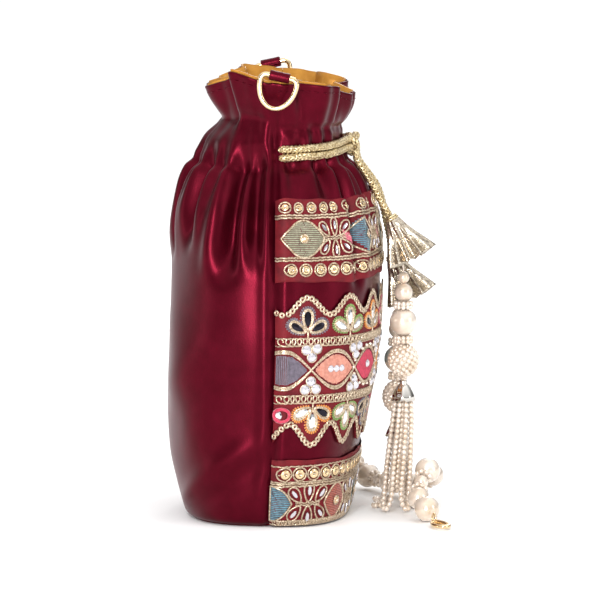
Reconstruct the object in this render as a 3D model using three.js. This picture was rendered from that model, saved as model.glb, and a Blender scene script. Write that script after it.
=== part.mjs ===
// A drawstring pouch: two satin panels on an oval base, lined, with three embroidered bands
// across the front, a ring on a tab at each side seam, a knotted drawcord with two tassels,
// and a string of pearls as a wrist handle.
// Millimetres, +Z up. The front faces -Y, the side seams are at -X and +X, and the origin is
// the middle of the base.
import * as THREE from 'three';

// Driving dimensions
const wallThickness = 1;
const liningThickness = 0.8;
const bandThickness = 0.8;
const gap = 0.3;
const seamGap = 0.15;
const baseThickness = 1.2;
const boardThickness = 1.5;
const panelColumns = 18;
const cordRadius = 1.9;
const strandRadius = 1.4;
const handleRadius = 5.8;
const strandSteps = 16;
const handleSteps = 30;
const ringWire = 2.6;
const ringWidth = 20.7;
const ringDrop = 17.1;
const ringTilt = THREE.MathUtils.degToRad(12);
const barHeight = 220.9;
const barReach = 58.3;
const tabWidth = 10;

// The bag's shape at each height: half its width, how far the front and the back stand out from
// the plane of the seams, and the exponent of the superellipse between them.
const levels = [
  { z: 1.5, half: 66, front: 40.5, back: 44.5, power: 2.8 },
  { z: 12, half: 69, front: 42.5, back: 47.5, power: 2.8 },
  { z: 30, half: 71.5, front: 44.5, back: 51, power: 2.7 },
  { z: 50, half: 72.8, front: 47, back: 53, power: 2.6 },
  { z: 70, half: 73, front: 50.5, back: 54, power: 2.6 },
  { z: 95, half: 72.5, front: 52.7, back: 53.6, power: 2.5 },
  { z: 120, half: 71, front: 52.7, back: 51.8, power: 2.5 },
  { z: 140, half: 68.5, front: 51.4, back: 50.5, power: 2.4 },
  { z: 155, half: 64.5, front: 48.2, back: 48.6, power: 2.4 },
  { z: 168, half: 58, front: 43.5, back: 45.5, power: 2.3 },
  { z: 178, half: 52, front: 35.5, back: 38.5, power: 2.3 },
  { z: 185, half: 49, front: 32.5, back: 31.5, power: 2.2 },
  { z: 192, half: 48.5, front: 32.5, back: 26.5, power: 2.2 },
  { z: 200, half: 50, front: 35, back: 26, power: 2.2 },
  { z: 209, half: 53, front: 39.5, back: 29, power: 2.2 },
  { z: 217, half: 56, front: 41.5, back: 32, power: 2.2 },
];
const rimHeight = levels[levels.length - 1].z;

const bandHeights = {
  top: [121, 160],
  middle: [39, 115],
  bottom: [2.5, 34],
};

const satin = { color: 0x7a1528, roughness: 0.38, metalness: 0 };
const redCloth = { color: 0x9a1822, roughness: 0.6, metalness: 0 };
const liningCloth = { color: 0xb07a2e, roughness: 0.6, metalness: 0 };
const card = { color: 0x9c8a6a, roughness: 0.9, metalness: 0 };
const goldThread = { color: 0xc8a878, roughness: 0.45, metalness: 0.6 };
const goldMetal = { color: 0xe8cfa8, roughness: 0.15, metalness: 1 };
const ribbonMetal = { color: 0xa89c82, roughness: 0.3, metalness: 0.8 };
const pearl = { color: 0xe8dcd0, roughness: 0.2, metalness: 0 };
const silverMetal = { color: 0xcfcac4, roughness: 0.12, metalness: 1 };

const bag = new THREE.Group();

function place(name, geometry, look, parent = bag) {
  const mesh = new THREE.Mesh(geometry, new THREE.MeshStandardMaterial(look));
  mesh.name = name;
  parent.add(mesh);
  return mesh;
}

// ---- Sections of the bag ----

function levelAt(z) {
  const above = levels.findIndex((level) => level.z >= z);
  if (above <= 0) {
    return levels[0];
  }
  const low = levels[above - 1];
  const high = levels[above];
  const share = (z - low.z) / (high.z - low.z);
  const mix = (key) => THREE.MathUtils.lerp(low[key], high[key], share);
  return { half: mix('half'), front: mix('front'), back: mix('back'), power: mix('power') };
}

// A point of the section at height z, at an angle measured from +X; outset moves it outwards.
function sectionPoint(z, angle, outset) {
  const level = levelAt(z);
  const cos = Math.cos(angle);
  const sin = Math.sin(angle);
  const depth = (sin < 0 ? level.front : level.back) + outset;
  const exponent = 2 / level.power;
  return new THREE.Vector3(
    (level.half + outset) * Math.sign(cos) * Math.abs(cos) ** exponent,
    depth * Math.sign(sin) * Math.abs(sin) ** exponent,
    z,
  );
}

// The angles that divide a half section into even steps, from one seam to the other.
function evenAngles(z, start, columns) {
  const fine = 240;
  const angles = [];
  const lengths = [0];
  for (let i = 0; i <= fine; i += 1) {
    angles.push(start + (Math.PI * i) / fine);
  }
  for (let i = 1; i <= fine; i += 1) {
    const here = sectionPoint(z, angles[i], 0);
    lengths.push(lengths[i - 1] + here.distanceTo(sectionPoint(z, angles[i - 1], 0)));
  }
  const even = [];
  for (let column = 0; column <= columns; column += 1) {
    const target = (lengths[fine] * column) / columns;
    const after = Math.max(1, lengths.findIndex((length) => length >= target - 1e-9));
    const share = (target - lengths[after - 1]) / (lengths[after] - lengths[after - 1]);
    even.push(THREE.MathUtils.lerp(angles[after - 1], angles[after], share));
  }
  return even;
}

// One row of a panel: points from seam to seam, held clear of the plane of the seams.
function panelRow(z, start, outset) {
  const side = start === Math.PI ? -1 : 1;
  return evenAngles(z, start, panelColumns).map((angle) => {
    const point = sectionPoint(z, angle, outset);
    point.y = side * Math.max(seamGap, side * point.y);
    return point;
  });
}

function heightsBetween(low, high) {
  const between = levels.map((level) => level.z).filter((z) => z > low + 1 && z < high - 1);
  return [low, ...between, high];
}

// ---- Solids from grids of points ----

function geometryFrom(points, triangles) {
  const geometry = new THREE.BufferGeometry();
  const positions = points.flatMap((point) => [point.x, point.y, point.z]);
  geometry.setAttribute('position', new THREE.Float32BufferAttribute(positions, 3));
  geometry.setIndex(triangles);
  geometry.computeVertexNormals();
  return geometry;
}

// A curved slab between two grids of the same size: outer rows and inner rows, bottom to top.
function slab(outerRows, innerRows) {
  const rows = outerRows.length;
  const columns = outerRows[0].length;
  const points = [...outerRows.flat(), ...innerRows.flat()];
  const outer = (row, column) => row * columns + column;
  const inner = (row, column) => rows * columns + row * columns + column;
  const triangles = [];
  const quad = (a, b, c, d) => triangles.push(a, b, c, a, c, d);
  for (let row = 0; row < rows - 1; row += 1) {
    for (let column = 0; column < columns - 1; column += 1) {
      quad(outer(row, column), outer(row, column + 1), outer(row + 1, column + 1), outer(row + 1, column));
      quad(inner(row, column), inner(row + 1, column), inner(row + 1, column + 1), inner(row, column + 1));
    }
    quad(outer(row, 0), outer(row + 1, 0), inner(row + 1, 0), inner(row, 0));
    const last = columns - 1;
    quad(outer(row, last), inner(row, last), inner(row + 1, last), outer(row + 1, last));
  }
  for (let column = 0; column < columns - 1; column += 1) {
    const top = rows - 1;
    quad(outer(0, column), inner(0, column), inner(0, column + 1), outer(0, column + 1));
    quad(outer(top, column), outer(top, column + 1), inner(top, column + 1), inner(top, column));
  }
  return geometryFrom(points, triangles);
}

// A cup: closed rings up the outside and down the inside, with a middle point under and over the floor.
function cup(outerRings, innerRings) {
  const rings = [...outerRings, ...innerRings.slice().reverse()];
  const count = rings[0].length;
  const points = rings.flat();
  const triangles = [];
  for (let ring = 0; ring < rings.length - 1; ring += 1) {
    for (let i = 0; i < count; i += 1) {
      const next = (i + 1) % count;
      const low = ring * count;
      const high = (ring + 1) * count;
      triangles.push(low + i, low + next, high + next, low + i, high + next, high + i);
    }
  }
  const under = points.push(new THREE.Vector3(0, 0, outerRings[0][0].z)) - 1;
  const over = points.push(new THREE.Vector3(0, 0, innerRings[0][0].z)) - 1;
  const lastRing = (rings.length - 1) * count;
  for (let i = 0; i < count; i += 1) {
    const next = (i + 1) % count;
    triangles.push(under, next, i);
    triangles.push(over, lastRing + i, lastRing + next);
  }
  return geometryFrom(points, triangles);
}

function panel(start, low, high, outset, thickness) {
  const heights = heightsBetween(low, high);
  return slab(
    heights.map((z) => panelRow(z, start, outset)),
    heights.map((z) => panelRow(z, start, outset - thickness)),
  );
}

// ---- The bag itself ----

const lowestLevel = levels[0].z;
place('front_panel', panel(Math.PI, lowestLevel, rimHeight, 0, wallThickness), satin);
place('back_panel', panel(0, lowestLevel, rimHeight, 0, wallThickness), satin);

for (const [name, [low, high]] of Object.entries(bandHeights)) {
  place(`band_${name}`, panel(Math.PI, low, high, gap + bandThickness, bandThickness), redCloth);
}

function ovalOutline(inset) {
  const outline = [];
  for (const start of [0, Math.PI]) {
    for (const angle of evenAngles(lowestLevel, start, panelColumns).slice(0, -1)) {
      const point = sectionPoint(lowestLevel, angle, -inset);
      outline.push(new THREE.Vector2(point.x, point.y));
    }
  }
  return new THREE.Shape(outline);
}

function ovalPlate(name, inset, bottom, thickness, look) {
  const geometry = new THREE.ExtrudeGeometry(ovalOutline(inset), { depth: thickness, bevelEnabled: false });
  place(name, geometry, look).position.z = bottom;
}

ovalPlate('base_panel', 0, 0, baseThickness, satin);
ovalPlate('base_board', wallThickness + gap, lowestLevel, boardThickness, card);

const liningInset = wallThickness + gap;
const liningFloor = lowestLevel + boardThickness + gap;

function liningRing(z, inset) {
  const ring = [];
  for (const start of [0, Math.PI]) {
    for (const angle of evenAngles(z, start, panelColumns).slice(0, -1)) {
      ring.push(sectionPoint(z, angle, -inset));
    }
  }
  return ring;
}

const liningHeights = heightsBetween(liningFloor, rimHeight);
const innerHeights = [liningFloor + liningThickness, ...liningHeights.slice(1)];
const lining = cup(
  liningHeights.map((z) => liningRing(z, liningInset)),
  innerHeights.map((z) => liningRing(z, liningInset + liningThickness)),
);
place('lining', lining, liningCloth);

// ---- Rings and their tabs ----

// A strip of satin round a bar along Y, whose tail reaches towards +X to where it is sewn.
function tabGeometry(holeRadius, width, tailReach) {
  const outside = holeRadius + 1;
  const tailTop = -0.6;
  const tailBottom = -2;
  const shape = new THREE.Shape();
  shape.absarc(0, 0, outside, Math.asin(tailTop / outside), 2 * Math.PI + Math.asin(tailBottom / outside));
  shape.lineTo(tailReach, tailBottom);
  shape.lineTo(tailReach, tailTop);
  const hole = new THREE.Path();
  hole.absarc(0, 0, holeRadius, 0, 2 * Math.PI, true);
  shape.holes.push(hole);
  const geometry = new THREE.ExtrudeGeometry(shape, { depth: width, bevelEnabled: false, curveSegments: 16 });
  geometry.translate(0, 0, -width / 2);
  geometry.rotateX(Math.PI / 2);
  return geometry;
}

// The outline of a D with its bar along the top: its upper edge at top, corners rounded.
function dOutline(path, width, top, drop, corner) {
  const half = width / 2;
  const shoulder = top - corner;
  path.moveTo(-half + corner, top);
  path.quadraticCurveTo(-half, top, -half, shoulder);
  path.absellipse(0, shoulder, half, drop - corner, Math.PI, 2 * Math.PI, false);
  path.quadraticCurveTo(half, top, half - corner, top);
  path.lineTo(-half + corner, top);
  return path;
}

function dRingGeometry() {
  const radius = ringWire / 2;
  const bevel = 0.75;
  const outline = dOutline(new THREE.Shape(), ringWidth, radius, ringDrop, 3);
  const inside = dOutline(new THREE.Path(), ringWidth - 2 * ringWire, -radius, ringDrop - 2 * ringWire, 1.5);
  outline.holes.push(inside);
  const geometry = new THREE.ExtrudeGeometry(outline, {
    depth: ringWire - 2 * bevel,
    bevelThickness: bevel,
    bevelSize: bevel,
    bevelOffset: -bevel,
    bevelSegments: 1,
    curveSegments: 9,
  });
  geometry.translate(0, 0, bevel - radius);
  geometry.rotateX(Math.PI / 2);
  geometry.rotateZ(Math.PI / 2);
  return geometry;
}

// Turned half a turn, the far side's tab and ring are the near side's.
for (const [side, turn] of [['near', 0], ['far', Math.PI]]) {
  const seam = new THREE.Group();
  seam.rotation.z = turn;
  const hanger = new THREE.Group();
  hanger.position.set(-barReach, -5, barHeight);
  hanger.rotation.x = ringTilt;
  seam.add(hanger);
  bag.add(seam);
  place(`${side}_tab`, tabGeometry(ringWire / 2 + 0.35, tabWidth, barReach - 53.9), satin, hanger);
  place(`${side}_ring`, dRingGeometry(), goldMetal, hanger);
}

// ---- Cords ----

function tube(points, radius, steps, sides = 8) {
  const route = points.map(([x, y, z]) => new THREE.Vector3(x, y, z));
  const section = new THREE.Shape();
  for (let i = 0; i < sides; i += 1) {
    const angle = (2 * Math.PI * i) / sides;
    const corner = [radius * Math.cos(angle), radius * Math.sin(angle)];
    if (i === 0) {
      section.moveTo(...corner);
    } else {
      section.lineTo(...corner);
    }
  }
  return new THREE.ExtrudeGeometry(section, {
    steps,
    extrudePath: new THREE.CatmullRomCurve3(route),
    bevelEnabled: false,
  });
}

const knotMiddle = [0, -39.4, 184.8];
const knot = new THREE.SphereGeometry(1, 12, 8);
knot.scale(6.5, 5, 6.5);
knot.translate(...knotMiddle);
place('drawcord_knot', knot, goldThread);

const upperStrand = [
  [-52.8, -2, 183.4],
  [-51.2, -10.3, 183.9],
  [-46, -19.8, 184.4],
  [-37, -27.4, 184.9],
  [-26.5, -32.3, 185.4],
  [-16, -35.1, 186],
  [-7.6, -36.5, 186.4],
];
const lowerStrand = [
  [-54.8, -7.5, 178.2],
  [-52.4, -15.4, 178.6],
  [-46.4, -24, 179.2],
  [-37.5, -30.8, 179.9],
  [-27.5, -35.1, 180.6],
  [-17, -37.5, 181.4],
  [-7.6, -38.4, 182.1],
];
const mirrored = (points) => points.map(([x, y, z]) => [-x, y, z]);
place('drawcord_near_upper', tube(upperStrand, cordRadius, 10), goldThread);
place('drawcord_near_lower', tube(lowerStrand, cordRadius, 10), goldThread);
place('drawcord_far_upper', tube(mirrored(upperStrand), cordRadius, 10), goldThread);
place('drawcord_far_lower', tube(mirrored(lowerStrand), cordRadius, 10), goldThread);

const hangingEnds = [
  [
    [-3.4, -40.2, 177.6],
    [-4.4, -45.2, 170.5],
    [-5.4, -49.3, 162.5],
    [-6.3, -53.6, 154.8],
    [-7, -57.4, 148.6],
  ],
  [
    [3.4, -40.2, 177.6],
    [4.8, -45.4, 171],
    [6.6, -50, 162.5],
    [8.8, -53.2, 153],
    [10.8, -55.6, 143],
    [12.4, -57.3, 134],
    [13, -58.1, 127.2],
  ],
];

// ---- Tassels and their strings of pearls ----

// Where the tassel's top is, how far it leans out, and the line that its pearls hang on.
const drops = [
  { top: [-7, -58.2, 147.4], lean: 27, hang: [-9, -64.5], lift: 0, steps: 8 },
  { top: [13, -58.6, 126], lean: 26, hang: [13, -61.2], lift: -21, steps: 12 },
];
const tasselLength = 21.5;
const tasselRadius = 11.5;
const pearlString = [
  { name: 'pearl_small', z: 117.9, radius: 3 },
  { name: 'pearl_middle', z: 110.5, radius: 4.6 },
  { name: 'rosette_upper', z: 104.1, radius: 5.2, thick: 2.4 },
  { name: 'pearl_large', z: 95.5, radius: 6.9 },
  { name: 'rosette_lower', z: 86.9, radius: 5.2, thick: 2.4 },
  { name: 'beaded_ball', z: 76.3, radius: 7.9, tall: 8.7 },
];
const capTop = 66.3;
const capBottom = 56.1;
const legCircle = 4.1;
const legTop = 54.7;

function tasselGeometry() {
  const profile = [
    new THREE.Vector2(0, 0),
    new THREE.Vector2(2.6, 0),
    new THREE.Vector2(3.4, -4),
    new THREE.Vector2(6.6, -10),
    new THREE.Vector2(tasselRadius, -tasselLength),
    new THREE.Vector2(0, -tasselLength + 3),
  ];
  const geometry = new THREE.LatheGeometry(profile.reverse(), 14);
  geometry.rotateX(Math.PI / 2);
  return geometry;
}

function roundBead(bead) {
  const geometry = new THREE.SphereGeometry(1, 10, 8);
  geometry.scale(bead.radius, bead.radius, bead.tall ?? bead.radius);
  return geometry;
}

function rosetteBead(bead) {
  const geometry = new THREE.CylinderGeometry(bead.radius, bead.radius, bead.thick, 12);
  geometry.rotateX(Math.PI / 2);
  return geometry;
}

function capGeometry() {
  const profile = [
    new THREE.Vector2(0, capBottom + 1.1),
    new THREE.Vector2(5.4, capBottom),
    new THREE.Vector2(4.6, capBottom + 4.2),
    new THREE.Vector2(2.2, capTop - 1.6),
    new THREE.Vector2(1.8, capTop),
    new THREE.Vector2(0, capTop),
  ];
  const geometry = new THREE.LatheGeometry(profile, 12);
  geometry.rotateX(Math.PI / 2);
  return geometry;
}

// One string of seed pearls: out of the cap, down, across and up again beside itself.
function strandRoute(index, drop, number) {
  const towards = Math.PI / 4 + (index * Math.PI) / 2;
  const spread = Math.PI / 8;
  const floor = strandRadius + 0.2;
  const [x, y] = drop.hang;
  const top = legTop + drop.lift;
  const onFloor = number === 1 ? 0 : 9;
  const drift = number === 1 ? 3.4 : 0;
  const at = (angle, radius, z, share) => [
    x + radius * Math.cos(angle),
    y + radius * Math.sin(angle) + drift * share,
    z,
  ];
  const leg = (angle) => [
    at(angle, legCircle, top, 0),
    at(angle, legCircle + 1, top - 10, 0.2),
    at(angle, legCircle + 2, top * 0.5, 0.6),
    at(angle, legCircle + 2.6, floor + 6, 1),
  ];
  const foot = [at(towards, legCircle + 3.8 + onFloor, floor, 1)];
  if (onFloor > 0) {
    foot.unshift(at(towards - 0.24, legCircle + 6, floor + 0.4, 1));
    foot.push(at(towards + 0.24, legCircle + 6, floor + 0.4, 1));
  }
  return [...leg(towards - spread), ...foot, ...leg(towards + spread).reverse()];
}

drops.forEach((drop, dropIndex) => {
  const number = dropIndex + 1;
  place(`drawcord_end_${number}`, tube(hangingEnds[dropIndex], cordRadius, drop.steps), goldThread);
  const tassel = place(`tassel_${number}`, tasselGeometry(), ribbonMetal);
  tassel.position.set(...drop.top);
  tassel.rotation.x = -THREE.MathUtils.degToRad(drop.lean);
  for (const bead of pearlString) {
    const geometry = bead.thick ? rosetteBead(bead) : roundBead(bead);
    geometry.translate(...drop.hang, bead.z + drop.lift);
    place(`${bead.name}_${number}`, geometry, pearl);
  }
  const cap = place(`cap_${number}`, capGeometry(), silverMetal);
  cap.position.set(...drop.hang, drop.lift);
  for (let index = 0; index < 4; index += 1) {
    const route = strandRoute(index, drop, number);
    place(`strand_${number}_${index + 1}`, tube(route, strandRadius, strandSteps), pearl);
  }
});

// ---- Wrist handle ----

const loopMiddle = [64.3, 0, 172];
const loopHole = 1.6;
const handleLoop = tabGeometry(loopHole, 3.4, 7);
handleLoop.rotateZ(Math.PI);
handleLoop.translate(...loopMiddle);
place('handle_loop', handleLoop, satin);

const linkRadius = 3.3;
const linkWire = 0.8;
const link = new THREE.TorusGeometry(linkRadius, linkWire, 6, 14);
link.rotateY(Math.PI / 2);
link.translate(loopMiddle[0], loopMiddle[1], loopMiddle[2] - linkRadius);
place('handle_link', link, goldMetal);

const handleRoute = [
  [69.2, 0, 163],
  [74.6, -1.5, 150],
  [78, -5, 132],
  [79.8, -10, 110],
  [80.2, -16, 86],
  [79.2, -22, 62],
  [77.4, -28, 42],
  [76, -33, 26],
  [74.5, -38.5, 14],
  [69, -44, 7.6],
  [61, -49.5, 6.6],
  [50, -55, 6.6],
  [39.5, -62, 6.8],
  [30, -70, 8.2],
  [20, -77, 12],
  [8, -79.5, 17.5],
  [-4, -77, 20.5],
  [-15, -74, 16.5],
  [-25, -72.5, 9.5],
  [-37, -75, 6.6],
  [-49, -79, 6.6],
];
place('handle_string', tube(handleRoute, handleRadius, handleSteps), pearl);

// The clasp lies flat past the end of the string.
const clasp = new THREE.Shape();
clasp.absellipse(0, 0, 9, 4.2, 0, 2 * Math.PI);
const claspHole = new THREE.Path();
claspHole.absellipse(2.4, 0, 4.6, 2, 0, 2 * Math.PI, true);
clasp.holes.push(claspHole);
const claspGeometry = new THREE.ExtrudeGeometry(clasp, { depth: 2.6, bevelEnabled: false, curveSegments: 10 });
claspGeometry.rotateZ(THREE.MathUtils.degToRad(198));
claspGeometry.translate(-65, -84.5, 0.2);
place('handle_clasp', claspGeometry, goldMetal);

export default bag;
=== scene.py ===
import math

import bpy
import numpy as np
from mathutils import Matrix, Vector


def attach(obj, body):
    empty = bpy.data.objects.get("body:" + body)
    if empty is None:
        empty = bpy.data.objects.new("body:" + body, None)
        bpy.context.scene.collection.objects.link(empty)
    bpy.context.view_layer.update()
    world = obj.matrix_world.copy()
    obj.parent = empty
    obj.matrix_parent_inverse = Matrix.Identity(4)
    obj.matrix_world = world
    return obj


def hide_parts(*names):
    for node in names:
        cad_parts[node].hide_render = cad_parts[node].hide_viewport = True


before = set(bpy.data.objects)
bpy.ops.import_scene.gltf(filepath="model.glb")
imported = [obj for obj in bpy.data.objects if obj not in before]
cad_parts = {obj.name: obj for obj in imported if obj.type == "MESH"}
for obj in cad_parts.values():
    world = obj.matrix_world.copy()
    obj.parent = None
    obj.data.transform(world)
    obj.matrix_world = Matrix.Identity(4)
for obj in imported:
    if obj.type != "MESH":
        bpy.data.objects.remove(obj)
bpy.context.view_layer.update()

mm = 0.001
rng = np.random.default_rng(11)

# ---- camera and light come first

view = {
    "azimuth": -87.5,  # degrees round from the front, so the near side seam faces the camera
    "elevation": 6.0,
    "distance": 2.5,
    "target": (0.0, -0.0124, 0.1054),
    "scaleAtSeam": 0.0004875,  # metres that 1/600 of the frame width covers at the near seam
    "seamDistance": 0.07,  # how much nearer than the target the near seam is
}

lamps = [
    {"name": "keyLight", "at": (-1.5, 0.16, 0.42), "size": (0.16, 0.8), "power": 19},
    {"name": "frontLight", "at": (-0.7, -1.4, 0.5), "size": (0.3, 0.8), "power": 4.0},
    {"name": "backLight", "at": (-0.2, 1.5, 0.4), "size": (0.12, 0.8), "power": 2.0},
    {"name": "farLight", "at": (1.5, -0.2, 0.7), "size": (0.3, 0.9), "power": 5.0},
]
studio = {
    "skyStrength": 1.48,
    # height above the horizon and brightness: a pale backdrop, a dark room and a bright ceiling
    "sky": [(0.0, 0.68), (0.075, 0.68), (0.12, 0.035), (0.85, 1.0)],
    "floorColor": "#ffffff",
}


def srgb(hexColor):
    channels = [int(hexColor[i:i + 2], 16) / 255 for i in (1, 3, 5)]
    return (*[c / 12.92 if c <= 0.04045 else ((c + 0.055) / 1.055) ** 2.4 for c in channels], 1.0)


def addNode(tree, kind, inputs=None, **settings):
    node = tree.nodes.new(kind)
    for key, value in settings.items():
        setattr(node, key, value)
    for key, value in (inputs or {}).items():
        socket = node.inputs[key]
        if isinstance(value, bpy.types.NodeSocket):
            tree.links.new(value, socket)
        else:
            socket.default_value = value
    return node


def addCamera():
    azimuth, elevation = math.radians(view["azimuth"]), math.radians(view["elevation"])
    back = Vector((math.sin(azimuth) * math.cos(elevation),
                   -math.cos(azimuth) * math.cos(elevation), math.sin(elevation)))
    camera = bpy.data.cameras.new("camera")
    holder = bpy.data.objects.new("camera", camera)
    bpy.context.scene.collection.objects.link(holder)
    holder.location = Vector(view["target"]) + back * view["distance"]
    holder.rotation_euler = back.to_track_quat("Z", "Y").to_euler()
    focalSteps = (view["distance"] - view["seamDistance"]) / view["scaleAtSeam"]
    camera.lens = focalSteps * camera.sensor_width / 600
    camera.clip_start = 0.05
    bpy.context.scene.camera = holder


def addLights():
    middle = Vector((0, 0, 0.11))
    for lamp in lamps:
        light = bpy.data.lights.new(lamp["name"], "AREA")
        light.shape = "RECTANGLE"
        light.size, light.size_y = lamp["size"]
        light.energy = lamp["power"]
        holder = bpy.data.objects.new(lamp["name"], light)
        bpy.context.scene.collection.objects.link(holder)
        holder.location = lamp["at"]
        holder.rotation_euler = (Vector(lamp["at"]) - middle).to_track_quat("Z", "Y").to_euler()
    world = bpy.data.worlds.new("studio")
    world.use_nodes = True
    tree = world.node_tree
    direction = addNode(tree, "ShaderNodeTexCoord").outputs["Generated"]
    height = addNode(tree, "ShaderNodeSeparateXYZ", {"Vector": direction}).outputs["Z"]
    ramp = addNode(tree, "ShaderNodeValToRGB", {"Fac": height})
    stops = ramp.color_ramp.elements
    while len(stops) < len(studio["sky"]):
        stops.new(1.0)
    for stop, (place, level) in zip(stops, studio["sky"]):
        stop.position, stop.color = place, (level, level, level, 1)
    background = tree.nodes["Background"]
    background.inputs["Strength"].default_value = studio["skyStrength"]
    tree.links.new(ramp.outputs["Color"], background.inputs["Color"])
    bpy.context.scene.world = world
    bpy.context.scene.view_settings.view_transform = "Standard"


addCamera()
addLights()
print("camera and lights are set")

# ---- helpers for meshes and nodes


def makeMesh(name, points, faces, smooth=True, edges=()):
    mesh = bpy.data.meshes.new(name)
    mesh.from_pydata((np.asarray(points) * mm).tolist(), [list(e) for e in edges], [list(f) for f in faces])
    mesh.validate()
    if smooth:
        mesh.polygons.foreach_set("use_smooth", [True] * len(mesh.polygons))
    piece = bpy.data.objects.new(name, mesh)
    bpy.context.scene.collection.objects.link(piece)
    return piece


def gridFaces(rows, columns, start=0, wrap=False):
    faces = []
    for row in range(rows - 1):
        for column in range(columns if wrap else columns - 1):
            here = start + row * columns
            there = here + columns
            nextColumn = (column + 1) % columns
            faces.append((here + column, here + nextColumn, there + nextColumn, there + column))
    return faces


def bake(piece, smooth=True):
    bpy.context.view_layer.update()
    evaluated = piece.evaluated_get(bpy.context.evaluated_depsgraph_get())
    mesh = bpy.data.meshes.new_from_object(evaluated)
    piece.modifiers.clear()
    piece.data = mesh
    mesh.polygons.foreach_set("use_smooth", [smooth] * len(mesh.polygons))
    return piece


def finishPiece(piece, material, body="bag"):
    if material is not None:
        piece.data.materials.clear()
        piece.data.materials.append(material)
    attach(piece, body)
    return piece


# ---- materials


def newMaterial(name, **values):
    material = bpy.data.materials.new(name)
    material.use_nodes = True
    tree = material.node_tree
    shader = tree.nodes["Principled BSDF"]
    for key, value in values.items():
        shader.inputs[key.replace("_", " ")].default_value = value
    return material, tree, shader


def objectPoint(tree, scale):
    place = addNode(tree, "ShaderNodeTexCoord").outputs["Object"]
    return addNode(tree, "ShaderNodeMapping", {"Vector": place, "Scale": scale}).outputs["Vector"]


def addBump(tree, shader, height, strength, distance):
    bump = addNode(tree, "ShaderNodeBump", {"Height": height, "Strength": strength, "Distance": distance})
    tree.links.new(bump.outputs["Normal"], shader.inputs["Normal"])


def varied(tree, shader, point, noiseScale, colors, spread=(0.3, 0.7)):
    noise = addNode(tree, "ShaderNodeTexNoise", {"Vector": point, "Scale": noiseScale, "Detail": 3.0})
    ramp = addNode(tree, "ShaderNodeValToRGB", {"Fac": noise.outputs["Fac"]})
    ramp.color_ramp.elements[0].position, ramp.color_ramp.elements[1].position = spread
    ramp.color_ramp.elements[0].color, ramp.color_ramp.elements[1].color = [srgb(c) for c in colors]
    tree.links.new(ramp.outputs["Color"], shader.inputs["Base Color"])
    return noise


def duchesseSatin(name, dark, light, sheenTint, metallic):
    # Long floats of yarn on the face: a broad coloured highlight, a dark body and a pale grazing edge.
    material, tree, shader = newMaterial(name, Metallic=metallic, Roughness=0.34, Sheen_Weight=0.02,
                                         Sheen_Roughness=0.3, Specular_IOR_Level=0.12)
    shader.inputs["Sheen Tint"].default_value = srgb(sheenTint)
    point = objectPoint(tree, (1, 1, 1))
    varied(tree, shader, point, 1 / (8 * mm), (dark, light))
    # The yarns are 0.1 mm apart; the grain is drawn at 0.6 mm so that it shows.
    grain = addNode(tree, "ShaderNodeTexNoise", {"Vector": point, "Scale": 1 / (0.6 * mm), "Detail": 2.0})
    addBump(tree, shader, grain.outputs["Fac"], 0.4, 0.12 * mm)
    return material


def bandSilk():
    # Dull raw silk: a plain weave with slubs, no highlight to speak of.
    material, tree, shader = newMaterial("rawSilk", Roughness=0.66, Sheen_Weight=0.1, Specular_IOR_Level=0.25)
    shader.inputs["Sheen Tint"].default_value = srgb("#d8505a")
    point = objectPoint(tree, (1, 1, 1))
    varied(tree, shader, point, 1 / (5 * mm), ("#540813", "#72101b"))
    threads = addNode(tree, "ShaderNodeTexNoise", {"Vector": objectPoint(tree, (1, 1, 6)),
                                                   "Scale": 1 / (1.6 * mm), "Detail": 3.0})
    addBump(tree, shader, threads.outputs["Fac"], 0.5, 0.15 * mm)
    return material


def baseCard():
    # Grey board: matte, with flecks of fibre.
    material, tree, shader = newMaterial("greyBoard", Roughness=0.92)
    varied(tree, shader, objectPoint(tree, (1, 1, 1)), 1 / (2 * mm), ("#8a7a5e", "#a89878"))
    return material


def metalThread(name, dark, light, roughness, scale):
    # Flat metal strip wound on a core: it sparkles where a turn faces the light.
    material, tree, shader = newMaterial(name, Metallic=0.85, Roughness=roughness)
    point = objectPoint(tree, (1, 1, 1))
    varied(tree, shader, point, 1 / (scale * mm), (dark, light), (0.36, 0.62))
    turns = addNode(tree, "ShaderNodeTexNoise", {"Vector": point, "Scale": 1 / (0.35 * mm), "Detail": 1.0})
    addBump(tree, shader, turns.outputs["Fac"], 0.6, 0.12 * mm)
    return material


def silkFloss(name, dark, light):
    # Untwisted embroidery silk: soft shine along the stitch.
    material, tree, shader = newMaterial(name, Roughness=0.42, Sheen_Weight=0.4)
    varied(tree, shader, objectPoint(tree, (1, 1, 1)), 1 / (1.5 * mm), (dark, light))
    return material


def pearlCoat():
    # Glass bead dipped in pearl essence: a clear coat over a soft cream body with a peach shade.
    material, tree, shader = newMaterial("pearlEssence", Roughness=0.22, Coat_Weight=1.0, Coat_Roughness=0.05,
                                         Metallic=0.32, Sheen_Weight=0.1)
    varied(tree, shader, objectPoint(tree, (1, 1, 1)), 1 / (9 * mm), ("#d6c1aa", "#ebdfd3"))
    return material


def platedMetal(name, color, roughness):
    # Electroplate over a polished casting: mirror bright, with the faintest orange peel.
    material, tree, shader = newMaterial(name, Metallic=1.0, Roughness=roughness)
    shader.inputs["Base Color"].default_value = srgb(color)
    peel = addNode(tree, "ShaderNodeTexNoise", {"Vector": objectPoint(tree, (1, 1, 1)), "Scale": 1 / (1.2 * mm)})
    addBump(tree, shader, peel.outputs["Fac"], 0.06, 0.05 * mm)
    return material


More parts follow.
